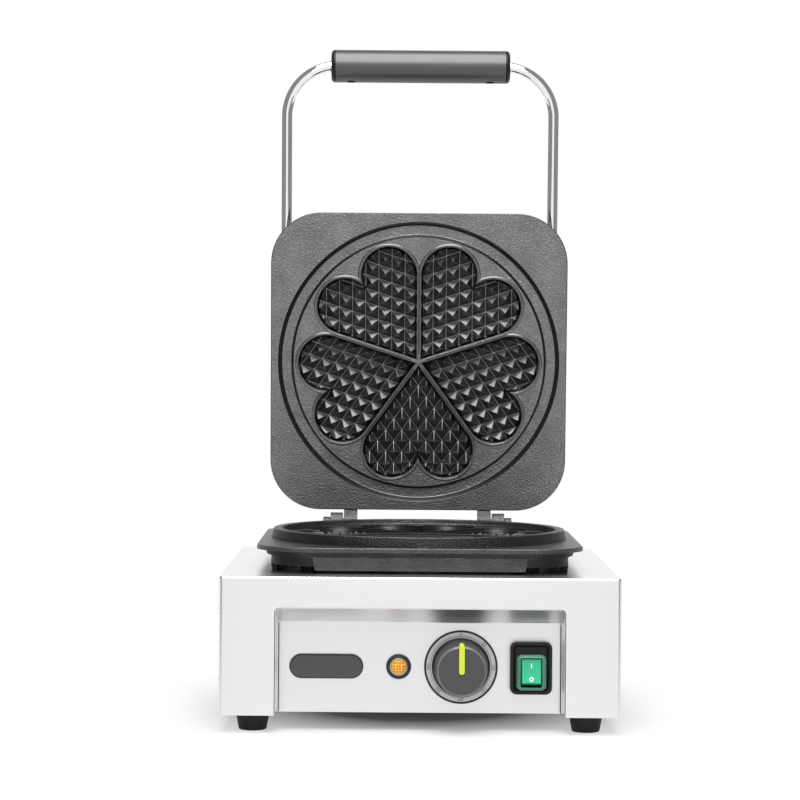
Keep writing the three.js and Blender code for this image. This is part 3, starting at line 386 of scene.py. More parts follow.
# Each lamp's name, width, depth, power, place and target
LAMPS = (("overhead", 1.2, 1.2, 27, (0, -0.4, 1.7), (0, -0.4, 0.2)),
         ("front", 1.2, 0.8, 20, (0, -1.3, 1.5), (0, 0, 0.25)))
CAMERA_PLACE = (-0.0228, -2.1682, 0.286)
CAMERA_TURN = radians(0.43)
CAMERA = {"sensor_width": 36.0, "lens": 120.03, "shift_x": 0.01, "shift_y": -0.05625, "clip_end": 50}


def shift(x=0.0, y=0.0, z=0.0):
    return Matrix.Translation((x, y, z))


def turn(angle, axis):
    return Matrix.Rotation(angle, 4, axis)


def at_corners(x, y, middle=0.0):
    """Places at the four corners, so far from the middle along X and Y."""
    return [shift(side_x * x, middle + side_y * y) for side_x, side_y in CORNERS.values()]


# Frames that pieces are built in
LOWER = shift(0, PLATE_MIDDLE, LAND_TOP)
HINGE = shift(0, HINGE_Y, LAND_TOP)
LID = HINGE @ turn(-OPEN_ANGLE, 'X')
UPPER = LID @ shift(0, -LID_MIDDLE, FACE_GAP)
HANDLE = LID @ shift(0, 0, ROD_RISE)
CASING = shift(0, CASE_FRONT + CASE_DEPTH / 2, CASE_LOW)
PANEL = shift(0, PANEL_Y, CONTROL_Z) @ turn(QUARTER, 'X')
AT_LAMP = PANEL @ shift(LAMP_X)
AT_DIAL = PANEL @ shift(DIAL_X)
ALONG_X = turn(QUARTER, 'Z') @ turn(QUARTER, 'X')
ALONG_Y = turn(QUARTER, 'X')
HEART_TURNS = [turn(2 * pi * number / HEARTS, 'Z') for number in range(HEARTS)]


# Outlines

def filleted(points, radius, steps=FILLET_STEPS, closed=True):
    """The outline with its corners rounded, but for the ends of an open one and points on the axis."""
    result = []
    for i, point in enumerate(points):
        corner = Vector(point)
        at_end = not closed and i in (0, len(points) - 1)
        if at_end or corner.x == 0:
            result.append(tuple(corner))
            continue
        before = Vector(points[i - 1]) - corner
        after = Vector(points[(i + 1) % len(points)]) - corner
        reach = min(radius, FILLET_MOST_SHARE * before.length, FILLET_MOST_SHARE * after.length)
        start = corner + before.normalized() * reach
        end = corner + after.normalized() * reach
        for step in range(steps + 1):
            t = step / steps
            result.append(tuple(start * (1 - t) ** 2 + corner * 2 * t * (1 - t) + end * t ** 2))
    return result


def rounded_rect(width, height, radius, steps=CORNER_STEPS):
    points = []
    for quarter, (side_x, side_y) in enumerate(((1, 1), (-1, 1), (-1, -1), (1, -1))):
        for step in range(steps + 1):
            angle = (quarter + step / steps) * QUARTER
            points.append((side_x * (width / 2 - radius) + radius * cos(angle),
                           side_y * (height / 2 - radius) + radius * sin(angle)))
    return points


def arc(x, y, radius, first, last, steps):
    """Points round a middle, from one angle to another."""
    angles = (first + (last - first) * i / steps for i in range(steps + 1))
    return [(x + radius * cos(angle), y + radius * sin(angle)) for angle in angles]


def quarter_angles(steps):
    return [QUARTER * step / steps for step in range(steps + 1)]


def bend_profile(inset, bend, top, steps=TIGHT_STEPS):
    """Points of [inset, height] round a quarter of a bend that ends at the height of its top."""
    return [(inset + bend * (1 - cos(angle)), top - bend * (1 - sin(angle)))
            for angle in quarter_angles(steps)]


def rectangle(x0, x1, y0, y1):
    return [(x0, y0), (x1, y0), (x1, y1), (x0, y1)]


# Closed bodies, each a pair of points and faces

def moved(body, *places):
    """The body put in its place, by the last of the places first."""
    points, faces = body
    for place in reversed(places):
        points = [tuple(place @ Vector(point)) for point in points]
    return points, faces


def loft(rings):
    count = len(rings[0])
    points = [point for ring in rings for point in ring]
    faces = []
    for low in range(0, len(points) - count, count):
        for i in range(count):
            j = (i + 1) % count
            faces.append((low + i, low + j, low + count + j, low + count + i))
    faces += [tuple(range(count)), tuple(range(len(points) - count, len(points)))]
    return points, faces


def prism(outline, low, high, *places):
    return moved(loft([[(x, y, z) for x, y in outline] for z in (low, high)]), *places)


def rect_loft(width, depth, corner, profile, steps=CORNER_STEPS):
    """Body through rounded rectangles, one for each point of [inset, height]."""
    return loft([[(x, y, z) for x, y in rounded_rect(width - 2 * inset, depth - 2 * inset,
                                                     max(corner - inset, LEAST), steps)]
                 for inset, z in profile])


def case_loft(profile):
    return rect_loft(CASE_WIDTH, CASE_DEPTH, CASE_CORNER, profile, TIGHT_STEPS)


def plate_loft(profile):
    return rect_loft(PLATE_WIDTH, PLATE_DEPTH, PLATE_CORNER, profile)


def block(x0, x1, y0, y1, z0, z1):
    return prism(rectangle(x0, x1, y0, y1), z0, z1)


def lathe(profile, count=ROUND):
    """Body turned round Z from a closed profile of [radius, height]."""
    points, rows = [], []
    for radius, height in profile:
        amount = count if radius > 0 else 1
        rows.append(range(len(points), len(points) + amount))
        for i in range(amount):
            angle = 2 * pi * i / count
            points.append((radius * cos(angle), radius * sin(angle), height))
    faces = []
    for first, second in zip(rows, rows[1:] + rows[:1]):
        for i in range(count):
            j = i + 1
            quad = (first[i % len(first)], first[j % len(first)],
                    second[j % len(second)], second[i % len(second)])
            corners = tuple(dict.fromkeys(quad))
            if len(corners) > 2:
                faces.append(corners)
    return points, faces


def cylinder(radius, low, high, *places, count=SMALL):
    return moved(lathe(rectangle(0, radius, low, high), count), *places)


def tube(path, radius, count=SMALL):
    """Tube along a path that lies in a plane z = constant."""
    rings = []
    for i, point in enumerate(path):
        before, after = path[max(i - 1, 0)], path[min(i + 1, len(path) - 1)]
        along = (Vector(after) - Vector(before)).normalized()
        across = along.cross(Vector((0, 0, 1)))
        rings.append([tuple(Vector(point) + across * radius * cos(angle)
                            + Vector((0, 0, radius * sin(angle))))
                      for angle in (2 * pi * k / count for k in range(count))])
    return loft(rings)


def together(*bodies):
    """Several bodies that keep apart, as one."""
    points, faces = [], []
    for more_points, more_faces in bodies:
        start = len(points)
        points += more_points
        faces += [tuple(start + i for i in face) for face in more_faces]
    return points, faces


def span(side, near, far):
    """Two places on one side of the middle, in rising order."""
    return sorted((side * near, side * far))


# Objects

def with_settings(made, **settings):
    """The same thing, once these settings of it are made."""
    for name, value in settings.items():
        setattr(made, name, value)
    return made


def linked(name, data):
    made = bpy.data.objects.new(name, data)
    bpy.context.collection.objects.link(made)
    return made


def as_object(name, shape):
    """The shape itself where it is an object, else one made from the body."""
    if isinstance(shape, bpy.types.Object):
        return shape
    points, faces = shape
    mesh = bpy.data.meshes.new(name)
    mesh.from_pydata([tuple(Vector(point) * MM) for point in points], [], faces)
    work = bmesh.new()
    work.from_mesh(mesh)
    bmesh.ops.recalc_face_normals(work, faces=work.faces)
    work.to_mesh(mesh)
    work.free()
    return linked(name, mesh)


def evaluated_mesh(made):
    evaluated = made.evaluated_get(bpy.context.evaluated_depsgraph_get())
    return bpy.data.meshes.new_from_object(evaluated)


def combined(base, tools, operation):
    """The first shape joined with the others, or cut by them."""
    whole = as_object("whole", base)
    for tool in tools:
        other = as_object("tool", tool)
        step = whole.modifiers.new("step", 'BOOLEAN')
        step.operation = operation
        step.solver = 'MANIFOLD'
        step.object = other
        mesh = evaluated_mesh(whole)
        mesh.materials.clear()
        whole.modifiers.clear()
        whole.data = mesh
        bpy.data.objects.remove(other)
    return whole


def shared(base, tool):
    """What two bodies have in common."""
    return combined(base, (tool,), 'INTERSECT')


def join(base, *tools):
    return combined(base, tools, 'UNION')


def cut(base, *tools):
    return combined(base, tools, 'DIFFERENCE')


def merge_into(whole, other):
    """Adds another object's mesh, as it is."""
    work = bmesh.new()
    work.from_mesh(whole.data)
    work.from_mesh(other.data)
    work.to_mesh(whole.data)
    work.free()
    bpy.data.objects.remove(other)


def piece(name, shape, skin_names, body, place, *nodes, smooth=SMOOTH_BELOW):
    """A finished piece of the scene that moves with a body and stands for CAD nodes."""
    made = as_object(name, shape)
    made.name = name
    made.data.name = name
    dress(made, skin_names)
    local = place.copy()
    local.translation = local.translation * MM
    made.matrix_world = local
    bpy.context.view_layer.update()
    made.data.shade_smooth()
    made.data.set_sharp_from_angle(angle=smooth)
    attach(made, body)
    if nodes:
        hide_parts(*nodes)
    return made


def paint(made, choose):
    """Gives each face the material of the number that its middle, in millimetres, and normal call for."""
    for face in made.data.polygons:
        face.material_index = int(choose(face.center / MM, face.normal))


# Materials. Inputs 2 and 3 of a Mix node are its numbers, and 6 and 7 its colours.

skins = {}


def dress(made, names):
    """Gives an object the materials that a line of names calls for, and no others."""
    made.data.materials.clear()
    for name in names.split():
        made.data.materials.append(skins[name])


def feed(owner, node, socket, value):
    """Sets an input to a value, or links it to an output or to the first output of a node."""
    source = value.outputs[0] if isinstance(value, bpy.types.Node) else value
    if isinstance(source, bpy.types.NodeSocket):
        owner.node_tree.links.new(source, node.inputs[socket])
    else:
        node.inputs[socket].default_value = source


def add_node(owner, kind, feeds=None, **settings):
    """New node in the tree of a material or of the world."""
    node = with_settings(owner.node_tree.nodes.new("ShaderNode" + kind), **settings)
    for socket, value in (feeds or {}).items():
        feed(owner, node, socket, value)
    return node


def calculate(owner, operation, *values):
    return add_node(owner, "Math", dict(enumerate(values)), operation=operation)


def feed_shader(material, socket, value):
    feed(material, material.node_tree.nodes["Principled BSDF"], socket, value)


def principled(name, colour, roughness, metallic=0.0, specular=0.5, **sockets):
    """New skin with these values of its shader, listed under its name."""
    made = bpy.data.materials.new(name)
    skins[name] = made
    made.use_nodes = True
    sockets.update(Base_Color=(*colour, 1), Roughness=roughness, Metallic=metallic,
                   Specular_IOR_Level=specular)
    for socket, value in sockets.items():
        feed_shader(made, socket.replace("_", " "), value)
    return made


def object_noise(material, stretch, detail=2.0):
    """Noise over the object's own coordinates, with so many cells to a metre along each axis."""
    place = add_node(material, "TexCoord").outputs["Object"]
    scaled = add_node(material, "VectorMath", {0: place, 1: stretch}, operation='MULTIPLY')
    return add_node(material, "TexNoise", {"Vector": scaled, "Scale": 1.0, "Detail": detail})


def add_bump(material, height, strength, distance):
    bump = add_node(material, "Bump", {"Strength": strength, "Distance": distance, "Height": height})
    feed_shader(material, "Normal", bump)


def spread(material, value, low, high):
    """The value mapped from the middle of its range to between low and high."""
    return add_node(material, "MapRange", {"Value": value, "From Min": NOISE_LOW, "From Max": NOISE_HIGH,
                                           "To Min": low, "To Max": high})


def mix_colours(material, share, low, high):
    mixed = add_node(material, "Mix", {"Factor": share, 6: (*low, 1), 7: (*high, 1)}, data_type='RGBA')
    feed_shader(material, "Base Color", mixed.outputs[2])


def brushed(name, colour, roughness, long=4.0, fine=1400.0):
    """Sheet brushed along its length: along X on top, and level on the walls."""
    made = principled(name, colour, roughness, 1.0)
    on_wall = object_noise(made, (long, long, fine))
    on_top = object_noise(made, (long, fine, long))
    normal = add_node(made, "SeparateXYZ", {0: add_node(made, "TexCoord").outputs["Normal"]})
    upright = calculate(made, 'ABSOLUTE', normal.outputs["Z"])
    is_top = calculate(made, 'GREATER_THAN', upright, BRUSHED_TOP_SHARE)
    grain = add_node(made, "Mix", {"Factor": is_top, 2: on_wall, 3: on_top}, data_type='FLOAT')
    uneven = spread(made, grain, roughness - BRUSHED_SPREAD, roughness + BRUSHED_SPREAD)
    feed_shader(made, "Roughness", uneven)
    add_bump(made, grain, BRUSHED_STRENGTH, BRUSHED_DEPTH)


def cast(name, colour, roughness, metallic, cell=900.0, bump=0.25, shade=0.12):
    """Cast iron with a fine rough skin, darker and lighter by turns."""
    made = principled(name, colour, roughness, metallic)
    grain = object_noise(made, [cell] * 3, GRAIN_DETAIL)
    blotch = object_noise(made, [cell / BLOTCH_CELLS] * 3, BLOTCH_DETAIL)
    both = add_node(made, "Mix", {"Factor": BLOTCH_SHARE, 2: grain, 3: blotch}, data_type='FLOAT')
    dark, light = ([part * (1 + change) for part in colour] for change in (-shade, shade))
    mix_colours(made, spread(made, both, 0.0, 1.0), dark, light)
    add_bump(made, grain, bump, CAST_DEPTH_SHARE / cell)


def dotted(name, low, high, roughness, pitch, **sockets):
    """Clear plastic over a square grid of soft dots on the object's own X and Y."""
    made = principled(name, low, roughness, **sockets)
    place = add_node(made, "SeparateXYZ", {0: add_node(made, "TexCoord").outputs["Object"]})
    waves = [calculate(made, 'COSINE', calculate(made, 'MULTIPLY', place.outputs[axis],
                                                 2 * pi / (pitch * MM))) for axis in "XY"]
    share = add_node(made, "MapRange", {"Value": calculate(made, 'ADD', *waves), "From Min": DOT_LOW,
                                        "From Max": DOT_HIGH})
    mix_colours(made, share, low, high)


def turned_metal(name, colour, roughness):
    """Metal with its fine lines running round the object's own Z."""
    made = principled(name, colour, roughness, 1.0, Anisotropic=TURNED_SHARE)
    feed_shader(made, "Tangent", add_node(made, "Tangent", direction_type='RADIAL', axis='Z'))


brushed("stainless", (0.86, 0.86, 0.865), 0.3)
brushed("panel_steel", (0.81, 0.81, 0.815), 0.36)
cast("land_iron", (0.2, 0.2, 0.202), 0.36, 0.95, 600.0, bump=0.5, shade=0.35)
# Darker iron of the upper plate's pockets, also a painted shade on the walls of its hearts and groove
cast("pocket_iron", (0.12, 0.12, 0.121), 0.3, 1.0, bump=0.06)
# Black iron of the lower plate, also a painted dark outline on the lid's outer edge
cast("black_iron", (0.085, 0.085, 0.086), 0.33, 0.9, bump=0.8, shade=0.3)
# Near black, a painted shade on the lower plate's collar and below its rim
cast("collar_iron", (0.025, 0.025, 0.026), 0.42, 0.8, 700.0, bump=0.9, shade=0.4)
# Darker iron of the lower plate's pockets, also a painted shade on the walls of its hearts
cast("black_pocket_iron", (0.06, 0.06, 0.061), 0.35, 1.0, bump=0.06)
turned_metal("dial_silver", (0.45, 0.45, 0.46), 0.3)
# The amber's grid of lighter and darker dots is partly the lens's moulded grid and partly a painted
# highlight for the glints of its facets.
dotted("amber", (0.55, 0.16, 0.005), (0.95, 0.55, 0.08), 0.12, LENS_GRID,
       Emission_Color=(1.0, 0.5, 0.05, 1), Emission_Strength=0.08)
dotted("rocker_green", (0.01, 0.36, 0.18), (0.06, 0.58, 0.34), 0.22, ROCKER_GRID,
       Emission_Color=(0.01, 0.5, 0.24, 1), Emission_Strength=0.04)
principled("boot_green", (0.06, 0.21, 0.13), 0.2, 0.0, Coat_Weight=0.3)

# Each plain skin's name, colour, roughness, share of metal and specular level
PLAIN_SKINS = (
    # Near black, a painted shade inside the panel's seams and creases
    ("seam_black", (0.02, 0.02, 0.02), 0.6),
    ("pin_steel", (0.07, 0.07, 0.072), 0.5, 1.0),
    ("plain_steel", (0.6, 0.6, 0.62), 0.4, 1.0),
    ("chrome", (0.86, 0.86, 0.87), 0.07, 1.0),
    ("heater_steel", (0.2, 0.18, 0.17), 0.5, 0.8),
    ("rubber", (0.012, 0.012, 0.012), 0.6, 0.0, 0.3),
    ("grip_plastic", (0.045, 0.045, 0.046), 0.34, 0.0, 0.75),
    # Black plastic, and also the painted shade on the boot's flange
    ("black_plastic", (0.01, 0.01, 0.011), 0.35, 0.0, 0.25),
    ("bezel_plastic", (0.03, 0.028, 0.027), 0.35, 0.0, 0.3),
    ("knob_plastic", (0.06, 0.06, 0.062), 0.4, 0.0, 0.4),
    # Lighter grey, a painted highlight on the bevel round the knob's cap
    ("knob_edge", (0.14, 0.14, 0.142), 0.3),
    ("knob_side", (0.012, 0.012, 0.013), 0.3, 0.0, 0.45),
    ("lime", (0.6, 0.7, 0.04), 0.35),
    ("badge_grey", (0.055, 0.055, 0.058), 0.5),
    # Near black, a painted shadow round the badge's face
    ("badge_painted_shadow", (0.012, 0.012, 0.013), 0.5),
    ("ink", (0.008, 0.008, 0.009), 0.5),
    ("white_ink", (0.85, 0.9, 0.87), 0.5),
    ("ceramic", (0.8, 0.77, 0.7), 0.6),
)
for skin in PLAIN_SKINS:
    principled(*skin)


# Casing

def louvre_top(number):
    return CASE_HEIGHT - LOUVRE_FIRST_DROP - number * LOUVRE_PITCH + LOUVRE_HEIGHT / 2


def side_louvre(number, side):
    """Hood pressed out of a side wall, open below."""
    half = LOUVRE_LENGTH / 2

    def row(y, inward):
        rise = sin(min(1.0, (half - abs(y)) / LOUVRE_END) * QUARTER)
        points = []
        for step in range(LOUVRE_ROWS + 1):
            t = step / LOUVRE_ROWS
            out = (LOUVRE_PROUD - inward) * rise * sin(t * QUARTER) - inward * (1 - rise)
            points.append((side * (CASE_WIDTH / 2 + out), y, louvre_top(number) - LOUVRE_HEIGHT * t))
        return points

    places = [-half + LOUVRE_LENGTH * i / LOUVRE_STEPS for i in range(LOUVRE_STEPS + 1)]
    return loft([row(y, 0.0) + row(y, LOUVRE_SHEET)[::-1] for y in places])


def louvre_slot(number, side):
    """Cutter for the air's way in behind a louvre's mouth."""
    top, wall = louvre_top(number), CASE_WIDTH / 2
    reach = LOUVRE_LENGTH / 2 - LOUVRE_END
    return block(*span(side, wall - CASE_SHEET - OVERRUN, wall + LOUVRE_SHEET), -reach, reach,
                 top - LOUVRE_HEIGHT + LEAST, top - LOUVRE_HEIGHT / 2)


def base_housing():
    shell = cut(case_loft([(0, 0), *bend_profile(0, CASE_TOP_BEND, CASE_HEIGHT)]),
                case_loft([(CASE_SHEET, -OVERRUN), (CASE_SHEET, CASE_HEIGHT - CASE_SHEET)]))
    lip_low = CASE_SHEET + GAP
    lip_high = lip_low + CASE_SHEET
    lip = cut(case_loft([(CASE_SHEET / 2, lip_low), (CASE_SHEET / 2, lip_high)]),
              case_loft([(CASE_LIP, 0), (CASE_LIP, lip_low + lip_high)]))
    front = -CASE_DEPTH / 2
    notch_half = RECESS_WIDTH / 2 + PANEL_FLANGE + NOTCH_AIR
    middle = PLATE_MIDDLE - CASE_FRONT + front
    low, high = CASE_HEIGHT - CASE_SHEET - OVERRUN, CASE_HEIGHT + OVERRUN
    cutters = [
        prism(rounded_rect(RECESS_WIDTH, 2 * (CASE_HEIGHT - BAND_HEIGHT), RECESS_CORNER),
              -front - CASE_SHEET - OVERRUN, -front + OVERRUN, ALONG_Y),
        block(-notch_half, notch_half, front + CASE_SHEET, front + RECESS_DEPTH + CASE_SHEET + NOTCH_AIR,
              lip_low - OVERRUN, lip_high + OVERRUN),
        block(-WINDOW_HALF, WINDOW_HALF, middle + WINDOW_START, middle + WINDOW_END, low, high),
        cylinder(CLAMP_HOLE_RADIUS, low, high, shift(0, middle)),
    ]
    bolts = at_corners(BOLT_SPREAD / 2, BOLT_SPREAD / 2, middle)
    screws = at_corners(CASE_WIDTH / 2 - COVER_SCREW_INSET, COVER_SCREW_SPREAD / 2)
    for bolt, screw in zip(bolts, screws):
        cutters += [cylinder(BOLT_RADIUS, low, high, bolt),
                    cylinder(COVER_SCREW_RADIUS, lip_low - OVERRUN, lip_high + OVERRUN, screw)]
    for x, z in ((CORD_X, CORD_RISE), (0.0, CASE_HEIGHT - LEAD_DROP)):
        cutters.append(cylinder(LEAD_HOLE, front - OVERRUN, front + CASE_SHEET + OVERRUN,
                                shift(x, 0, z), ALONG_Y))
    louvres = [(number, side) for number in range(LOUVRE_COUNT) for _, side in SIDES]
    cutters += [louvre_slot(*louvre) for louvre in louvres]
    whole = cut(join(shell, lip), *cutters)
    merge_into(whole, as_object("hoods", together(*[side_louvre(*louvre) for louvre in louvres])))
    piece("casing", whole, "stainless", "base", CASING, "base_housing")


def control_panel():
    opening_top = CASE_HEIGHT - BAND_HEIGHT
    half = RECESS_WIDTH / 2
    start = -CASE_DEPTH / 2 + CASE_SHEET + GAP
    back = -CASE_DEPTH / 2 + RECESS_DEPTH
    behind = back + CASE_SHEET

    def slope(y):
        return opening_top - SLOPE_DROP * (y + CASE_DEPTH / 2) / RECESS_DEPTH

    rise = CASE_SHEET * hypot(1, SLOPE_DROP / RECESS_DEPTH)
    tray = [(start, PANEL_FOOT_RISE), (behind, PANEL_FOOT_RISE), (behind, slope(back) + CASE_SHEET),
            (start, slope(start) + rise)]
    front = start - OVERRUN
    air = filleted([(front, PANEL_FOOT_RISE - OVERRUN), (back, PANEL_FOOT_RISE - OVERRUN),
                    (back, slope(back)), (front, slope(front))], PANEL_FOLD)
    flange_half = half + PANEL_FLANGE
    mouth = half - RECESS_LEDGE
    inner = mouth - RECESS_DRAFT
    flare = prism([(-mouth, front), (mouth, front), (inner, back + LEAST), (-inner, back + LEAST)],
                  -OVERRUN, opening_top + OVERRUN)
    controls = CONTROL_Z - CASE_LOW
    holes = [cylinder(radius, -behind - OVERRUN, -back + OVERRUN, shift(x, 0, controls), ALONG_Y)
             for radius, x in ((LAMP_HOLE, LAMP_X), (SHAFT_HOLE, DIAL_X))]
    body_x = SWITCH_WIDTH / 2 - SWITCH_BODY_MARGIN + GAP
    body_z = SWITCH_HEIGHT / 2 - SWITCH_BODY_MARGIN + GAP
    whole = cut(
        join(prism(tray, -half - CASE_SHEET, half + CASE_SHEET, ALONG_X),
             block(-flange_half, flange_half, start, start + CASE_SHEET, PANEL_FOOT_RISE,
                   opening_top + PANEL_FLANGE)),
        shared(prism(air, -half, half, ALONG_X), flare), *holes,
        block(SWITCH_X - body_x, SWITCH_X + body_x, back - OVERRUN, behind + OVERRUN,
              controls - body_z, controls + body_z))
    for _, side in SIDES:
        seam = block(*span(side, half - SEAM_WIDTH, half + LEAST), start - OVERRUN, start + SEAM_DEPTH,
                     -OVERRUN, slope(start))
        crease = block(*span(side, inner - LEAST, inner + SEAM_WIDTH), back - CREASE_REACH,
                       back + CREASE_REACH, -OVERRUN, slope(back) - PANEL_FOLD)
        whole = cut(whole, seam, crease)

    # Faces inside the side seams and the creases get a near-black painted shade, for the shadow in these
    # narrow gaps.
    def in_gap(middle, _):
        x = abs(middle.x)
        in_seam = abs(x - half + SEAM_WIDTH / 2) < SEAM_WIDTH and middle.y > start + GAP
        return in_seam or abs(x - inner - SEAM_WIDTH / 2) < SEAM_WIDTH / 2 + 2 * LEAST

    paint(piece("panel", whole, "panel_steel seam_black", "base", CASING, "control_panel"), in_gap)


def feet():
    top = FOOT_HEIGHT - GAP
    profile = filleted([(0, 0), (FOOT_BOTTOM, 0), (FOOT_TOP, top), (0, top)], FOOT_EDGE)
    half_x, half_y = CASE_WIDTH / 2, CASE_DEPTH / 2
    places = at_corners(half_x - FOOT_INSET, half_y - FOOT_INSET, CASE_FRONT + half_y)
    for name, place in zip(CORNERS, places):
        piece("rubber_foot_" + name, lathe(profile), "rubber", "base", place, "foot_" + name)


# Plates

def plate_blank(thickness):
    """Cast plate without its hearts: outer face at z = 0 and the back at z = thickness."""
    profile = filleted([
        (EDGE_ROUND, 0), (0, EDGE_ROUND), (0, LIP), (LIP_INSET, LIP), (COVE_INSET, COVE_DEPTH),
        (SHOULDER_INSET, COVE_DEPTH), (BODY_INSET, thickness),
    ], EDGE_ROUND, closed=False)
    return plate_loft(profile)


def heart_outline(offset):
    """One heart with its tip at the middle and its axis along +Y, drawn in by an offset."""
    wedge = pi / HEARTS
    slope = sin(wedge - LOBE_ANGLE)
    lobe = (HEART_REACH * slope - RIB / 2) / (1 + slope)
    x = (HEART_REACH - lobe) * sin(LOBE_ANGLE)
    y = (HEART_REACH - lobe) * cos(LOBE_ANGLE)
    radius = lobe - offset
    notch = acos(min(1.0, x / radius))
    right = arc(x, y, radius, -wedge, pi - notch, LOBE_STEPS)
    right[-1] = (0, right[-1][1])
    left = [(-px, py) for px, py in reversed(right[:-1])]
    return [(0, (RIB / 2 + offset) / sin(wedge)), *right, *left]


def pyramids(direction):
    """Field of pyramids with cut tips and ridges in rhombic cells."""
    wedge = pi / HEARTS
    edge = STUD_PITCH / sin(2 * wedge)
    tip = RIB / 2 / sin(wedge)
    cells = ceil(HEART_REACH / STUD_PITCH) + 1
    across = Vector((edge * sin(wedge), edge * cos(wedge)))
    other = Vector((-across.x, across.y))
    bodies = []
    for i in range(cells):
        for j in range(cells):
            middle = Vector((0, tip)) + across * (i - 0.5) + other * (j - 0.5)
            if not -STUD_PITCH < middle.y < HEART_REACH + STUD_PITCH:
                continue
            bodies.append(pyramid(middle, across, other, direction))
    return together(*bodies)


def pyramid(middle, across, other, direction):
    """Pyramid over a rhombic cell, with a small flat tip and its ridges cut off."""
    wide = 1 - STUD_VALLEY * 2 / STUD_PITCH
    rings = []
    for share, depth in ((wide, HEART_DEPTH + OVERRUN), (wide, HEART_DEPTH),
                         (STUD_TIP_SHARE, HEART_DEPTH - STUD_HEIGHT)):
        trim = min(STUD_CHAMFER_SHARE, share * STUD_CHAMFER_MOST_SHARE)
        inner = share - trim
        ring = [(share, inner), (inner, share), (-inner, share), (-share, inner),
                (-share, -inner), (-inner, -share), (inner, -share), (share, -inner)]
        rings.append([(*(middle + across * u / 2 + other * v / 2), direction * depth) for u, v in ring])
    return loft(rings)


def heart_loft(profile, direction):
    """Body through hearts along Z, one for each point of [offset, depth]."""
    return loft([[(x, y, direction * depth) for x, y in heart_outline(offset)] for offset, depth in profile])


def heart_cutter(direction):
    """One heart, sunk along Z from the baking land at z = 0."""
    edge = [(offset, depth) for depth, offset in bend_profile(0, HEART_EDGE, 0, FILLET_STEPS)]
    wall = filleted([(HEART_LEDGE_START, HEART_LEDGE_DEPTH), (HEART_LEDGE_END, HEART_LEDGE_DEPTH + LEAST),
                     (HEART_DRAFT, HEART_DEPTH - HEART_FILLET)], HEART_LEDGE_ROUND, closed=False)
    foot = bend_profile(HEART_DRAFT, HEART_FILLET, HEART_DEPTH, FILLET_STEPS)[1:]
    pocket = heart_loft([(-HEART_EDGE, -OVERRUN), *edge, *wall, *foot], direction)
    field = prism(heart_outline(STUD_INSET), direction * (HEART_DEPTH - STUD_HEIGHT - OVERRUN),
                  direction * (HEART_DEPTH + 2 * OVERRUN))
    return cut(pocket, shared(pyramids(direction), field))


def crest_cutter(direction):
    """Disc that lowers the land inside the groove, all but a raised crest round each heart."""
    low, high = -OVERRUN, CREST_HEIGHT + OVERRUN
    slope = filleted([(-CREST_WIDTH, low), (-CREST_WIDTH, 0), (-CREST_FOOT, CREST_HEIGHT),
                      (-CREST_FOOT, high)], CREST_ROUND, closed=False)
    kept = heart_loft(slope, direction)
    disc = cylinder(GROOVE_INNER + GAP, *span(direction, low, CREST_HEIGHT), count=2 * ROUND)
    return cut(disc, *[moved(kept, place) for place in HEART_TURNS])


def cut_hearts(plate, direction):
    plate = cut(plate, crest_cutter(direction))
    wedge = pi / HEARTS
    top = -direction * RIB_LINE_DEPTH
    line = [(-2 * RIB_LINE_HALF, top), (2 * RIB_LINE_HALF, top), (0, -top)]
    plate = cut(plate, *[prism(line, -HEART_REACH * cos(wedge), -RIB_LINE_START,
                               turn((2 * number + 1) * wedge, 'Z'), ALONG_Y) for number in range(HEARTS)])
    cutter = heart_cutter(direction)
    for place in HEART_TURNS:
        copy = linked("heart", cutter.data)
        copy.matrix_world = place
        bpy.context.view_layer.update()
        plate = cut(plate, copy)
    bpy.data.objects.remove(cutter)
    return plate


def paint_plate(plate, direction):
    """Gives the steep faces in and round the hearts and the groove the second material: the pockets' darker
    iron, which on the walls of the hearts and the groove is a painted shade. The collar's outside and the
    body below the rim get the third, a painted shade; on the lid the lugs and outer edge get the third,
    which on the outer edge is a painted dark outline."""
    def choose(middle, normal):
        x, y, z = middle
        reach, depth = hypot(x, y), direction * z
        steep = abs(normal.z) < FLAT_SHARE
        # Steep faces in and round the hearts: the pockets' darker iron, with painted shade on the heart
        # walls.
        second = steep and depth < HEART_DEPTH + LEAST and reach < HEART_REACH + CREST_FOOT
        if direction > 0:
            in_groove = (0 < depth < GROOVE_DEPTH
                         and GROOVE_INNER - CREST_FOOT < reach < GROOVE_OUTER + CREST_FOOT)
            # Steep faces in the groove get it too, as a painted shade.
            second = second or (steep and in_groove)
            # The lid's lugs and outer edge get black iron; on the outer edge it is a painted dark outline.
            third = y > PLATE_DEPTH / 2 + LEAST or (steep and depth < LIP + LEAST)
        else:
            collar = (COLLAR_ROUND - WELL_DEPTH < depth < LAND_RISE
                      and COLLAR_CREST - LEAST < reach < COLLAR_FOOT)
            wall = BODY_INSET - SKIRT_PROUD
            on_skirt = (abs(abs(x) - PLATE_WIDTH / 2 + wall) < LEAST
                        or abs(abs(y) - PLATE_DEPTH / 2 + wall) < LEAST)
            # Painted shade on the collar's outside and on everything below the rim but the skirts.
            third = collar or (depth > LAND_RISE + LIP + EDGE_ROUND and not on_skirt)
        return 1 if second else 2 if third else 0

    paint(plate, choose)


def with_eyes(plate, arm, start, width, place):
    """The plate with a hinge eye on each side, whose arm's points are [Y, Z] from the axis."""
    def tangent(point, side):
        return atan2(point[1], point[0]) + side * acos(HINGE_EYE / hypot(*point))

    first = tangent(arm[-1], 1)
    last = first + (tangent(arm[0], -1) - first) % (2 * pi)
    outline = [*arm, *arc(0, 0, HINGE_EYE, first, last, EYE_STEPS)]
    for _, side in SIDES:
        low, high = span(side, start, start + width)
        bore = cylinder(HINGE_BORE, low - OVERRUN, high + OVERRUN, place, turn(QUARTER, 'Y'))
        plate = cut(join(plate, prism(outline, low, high, place, ALONG_X)), bore)
    return plate


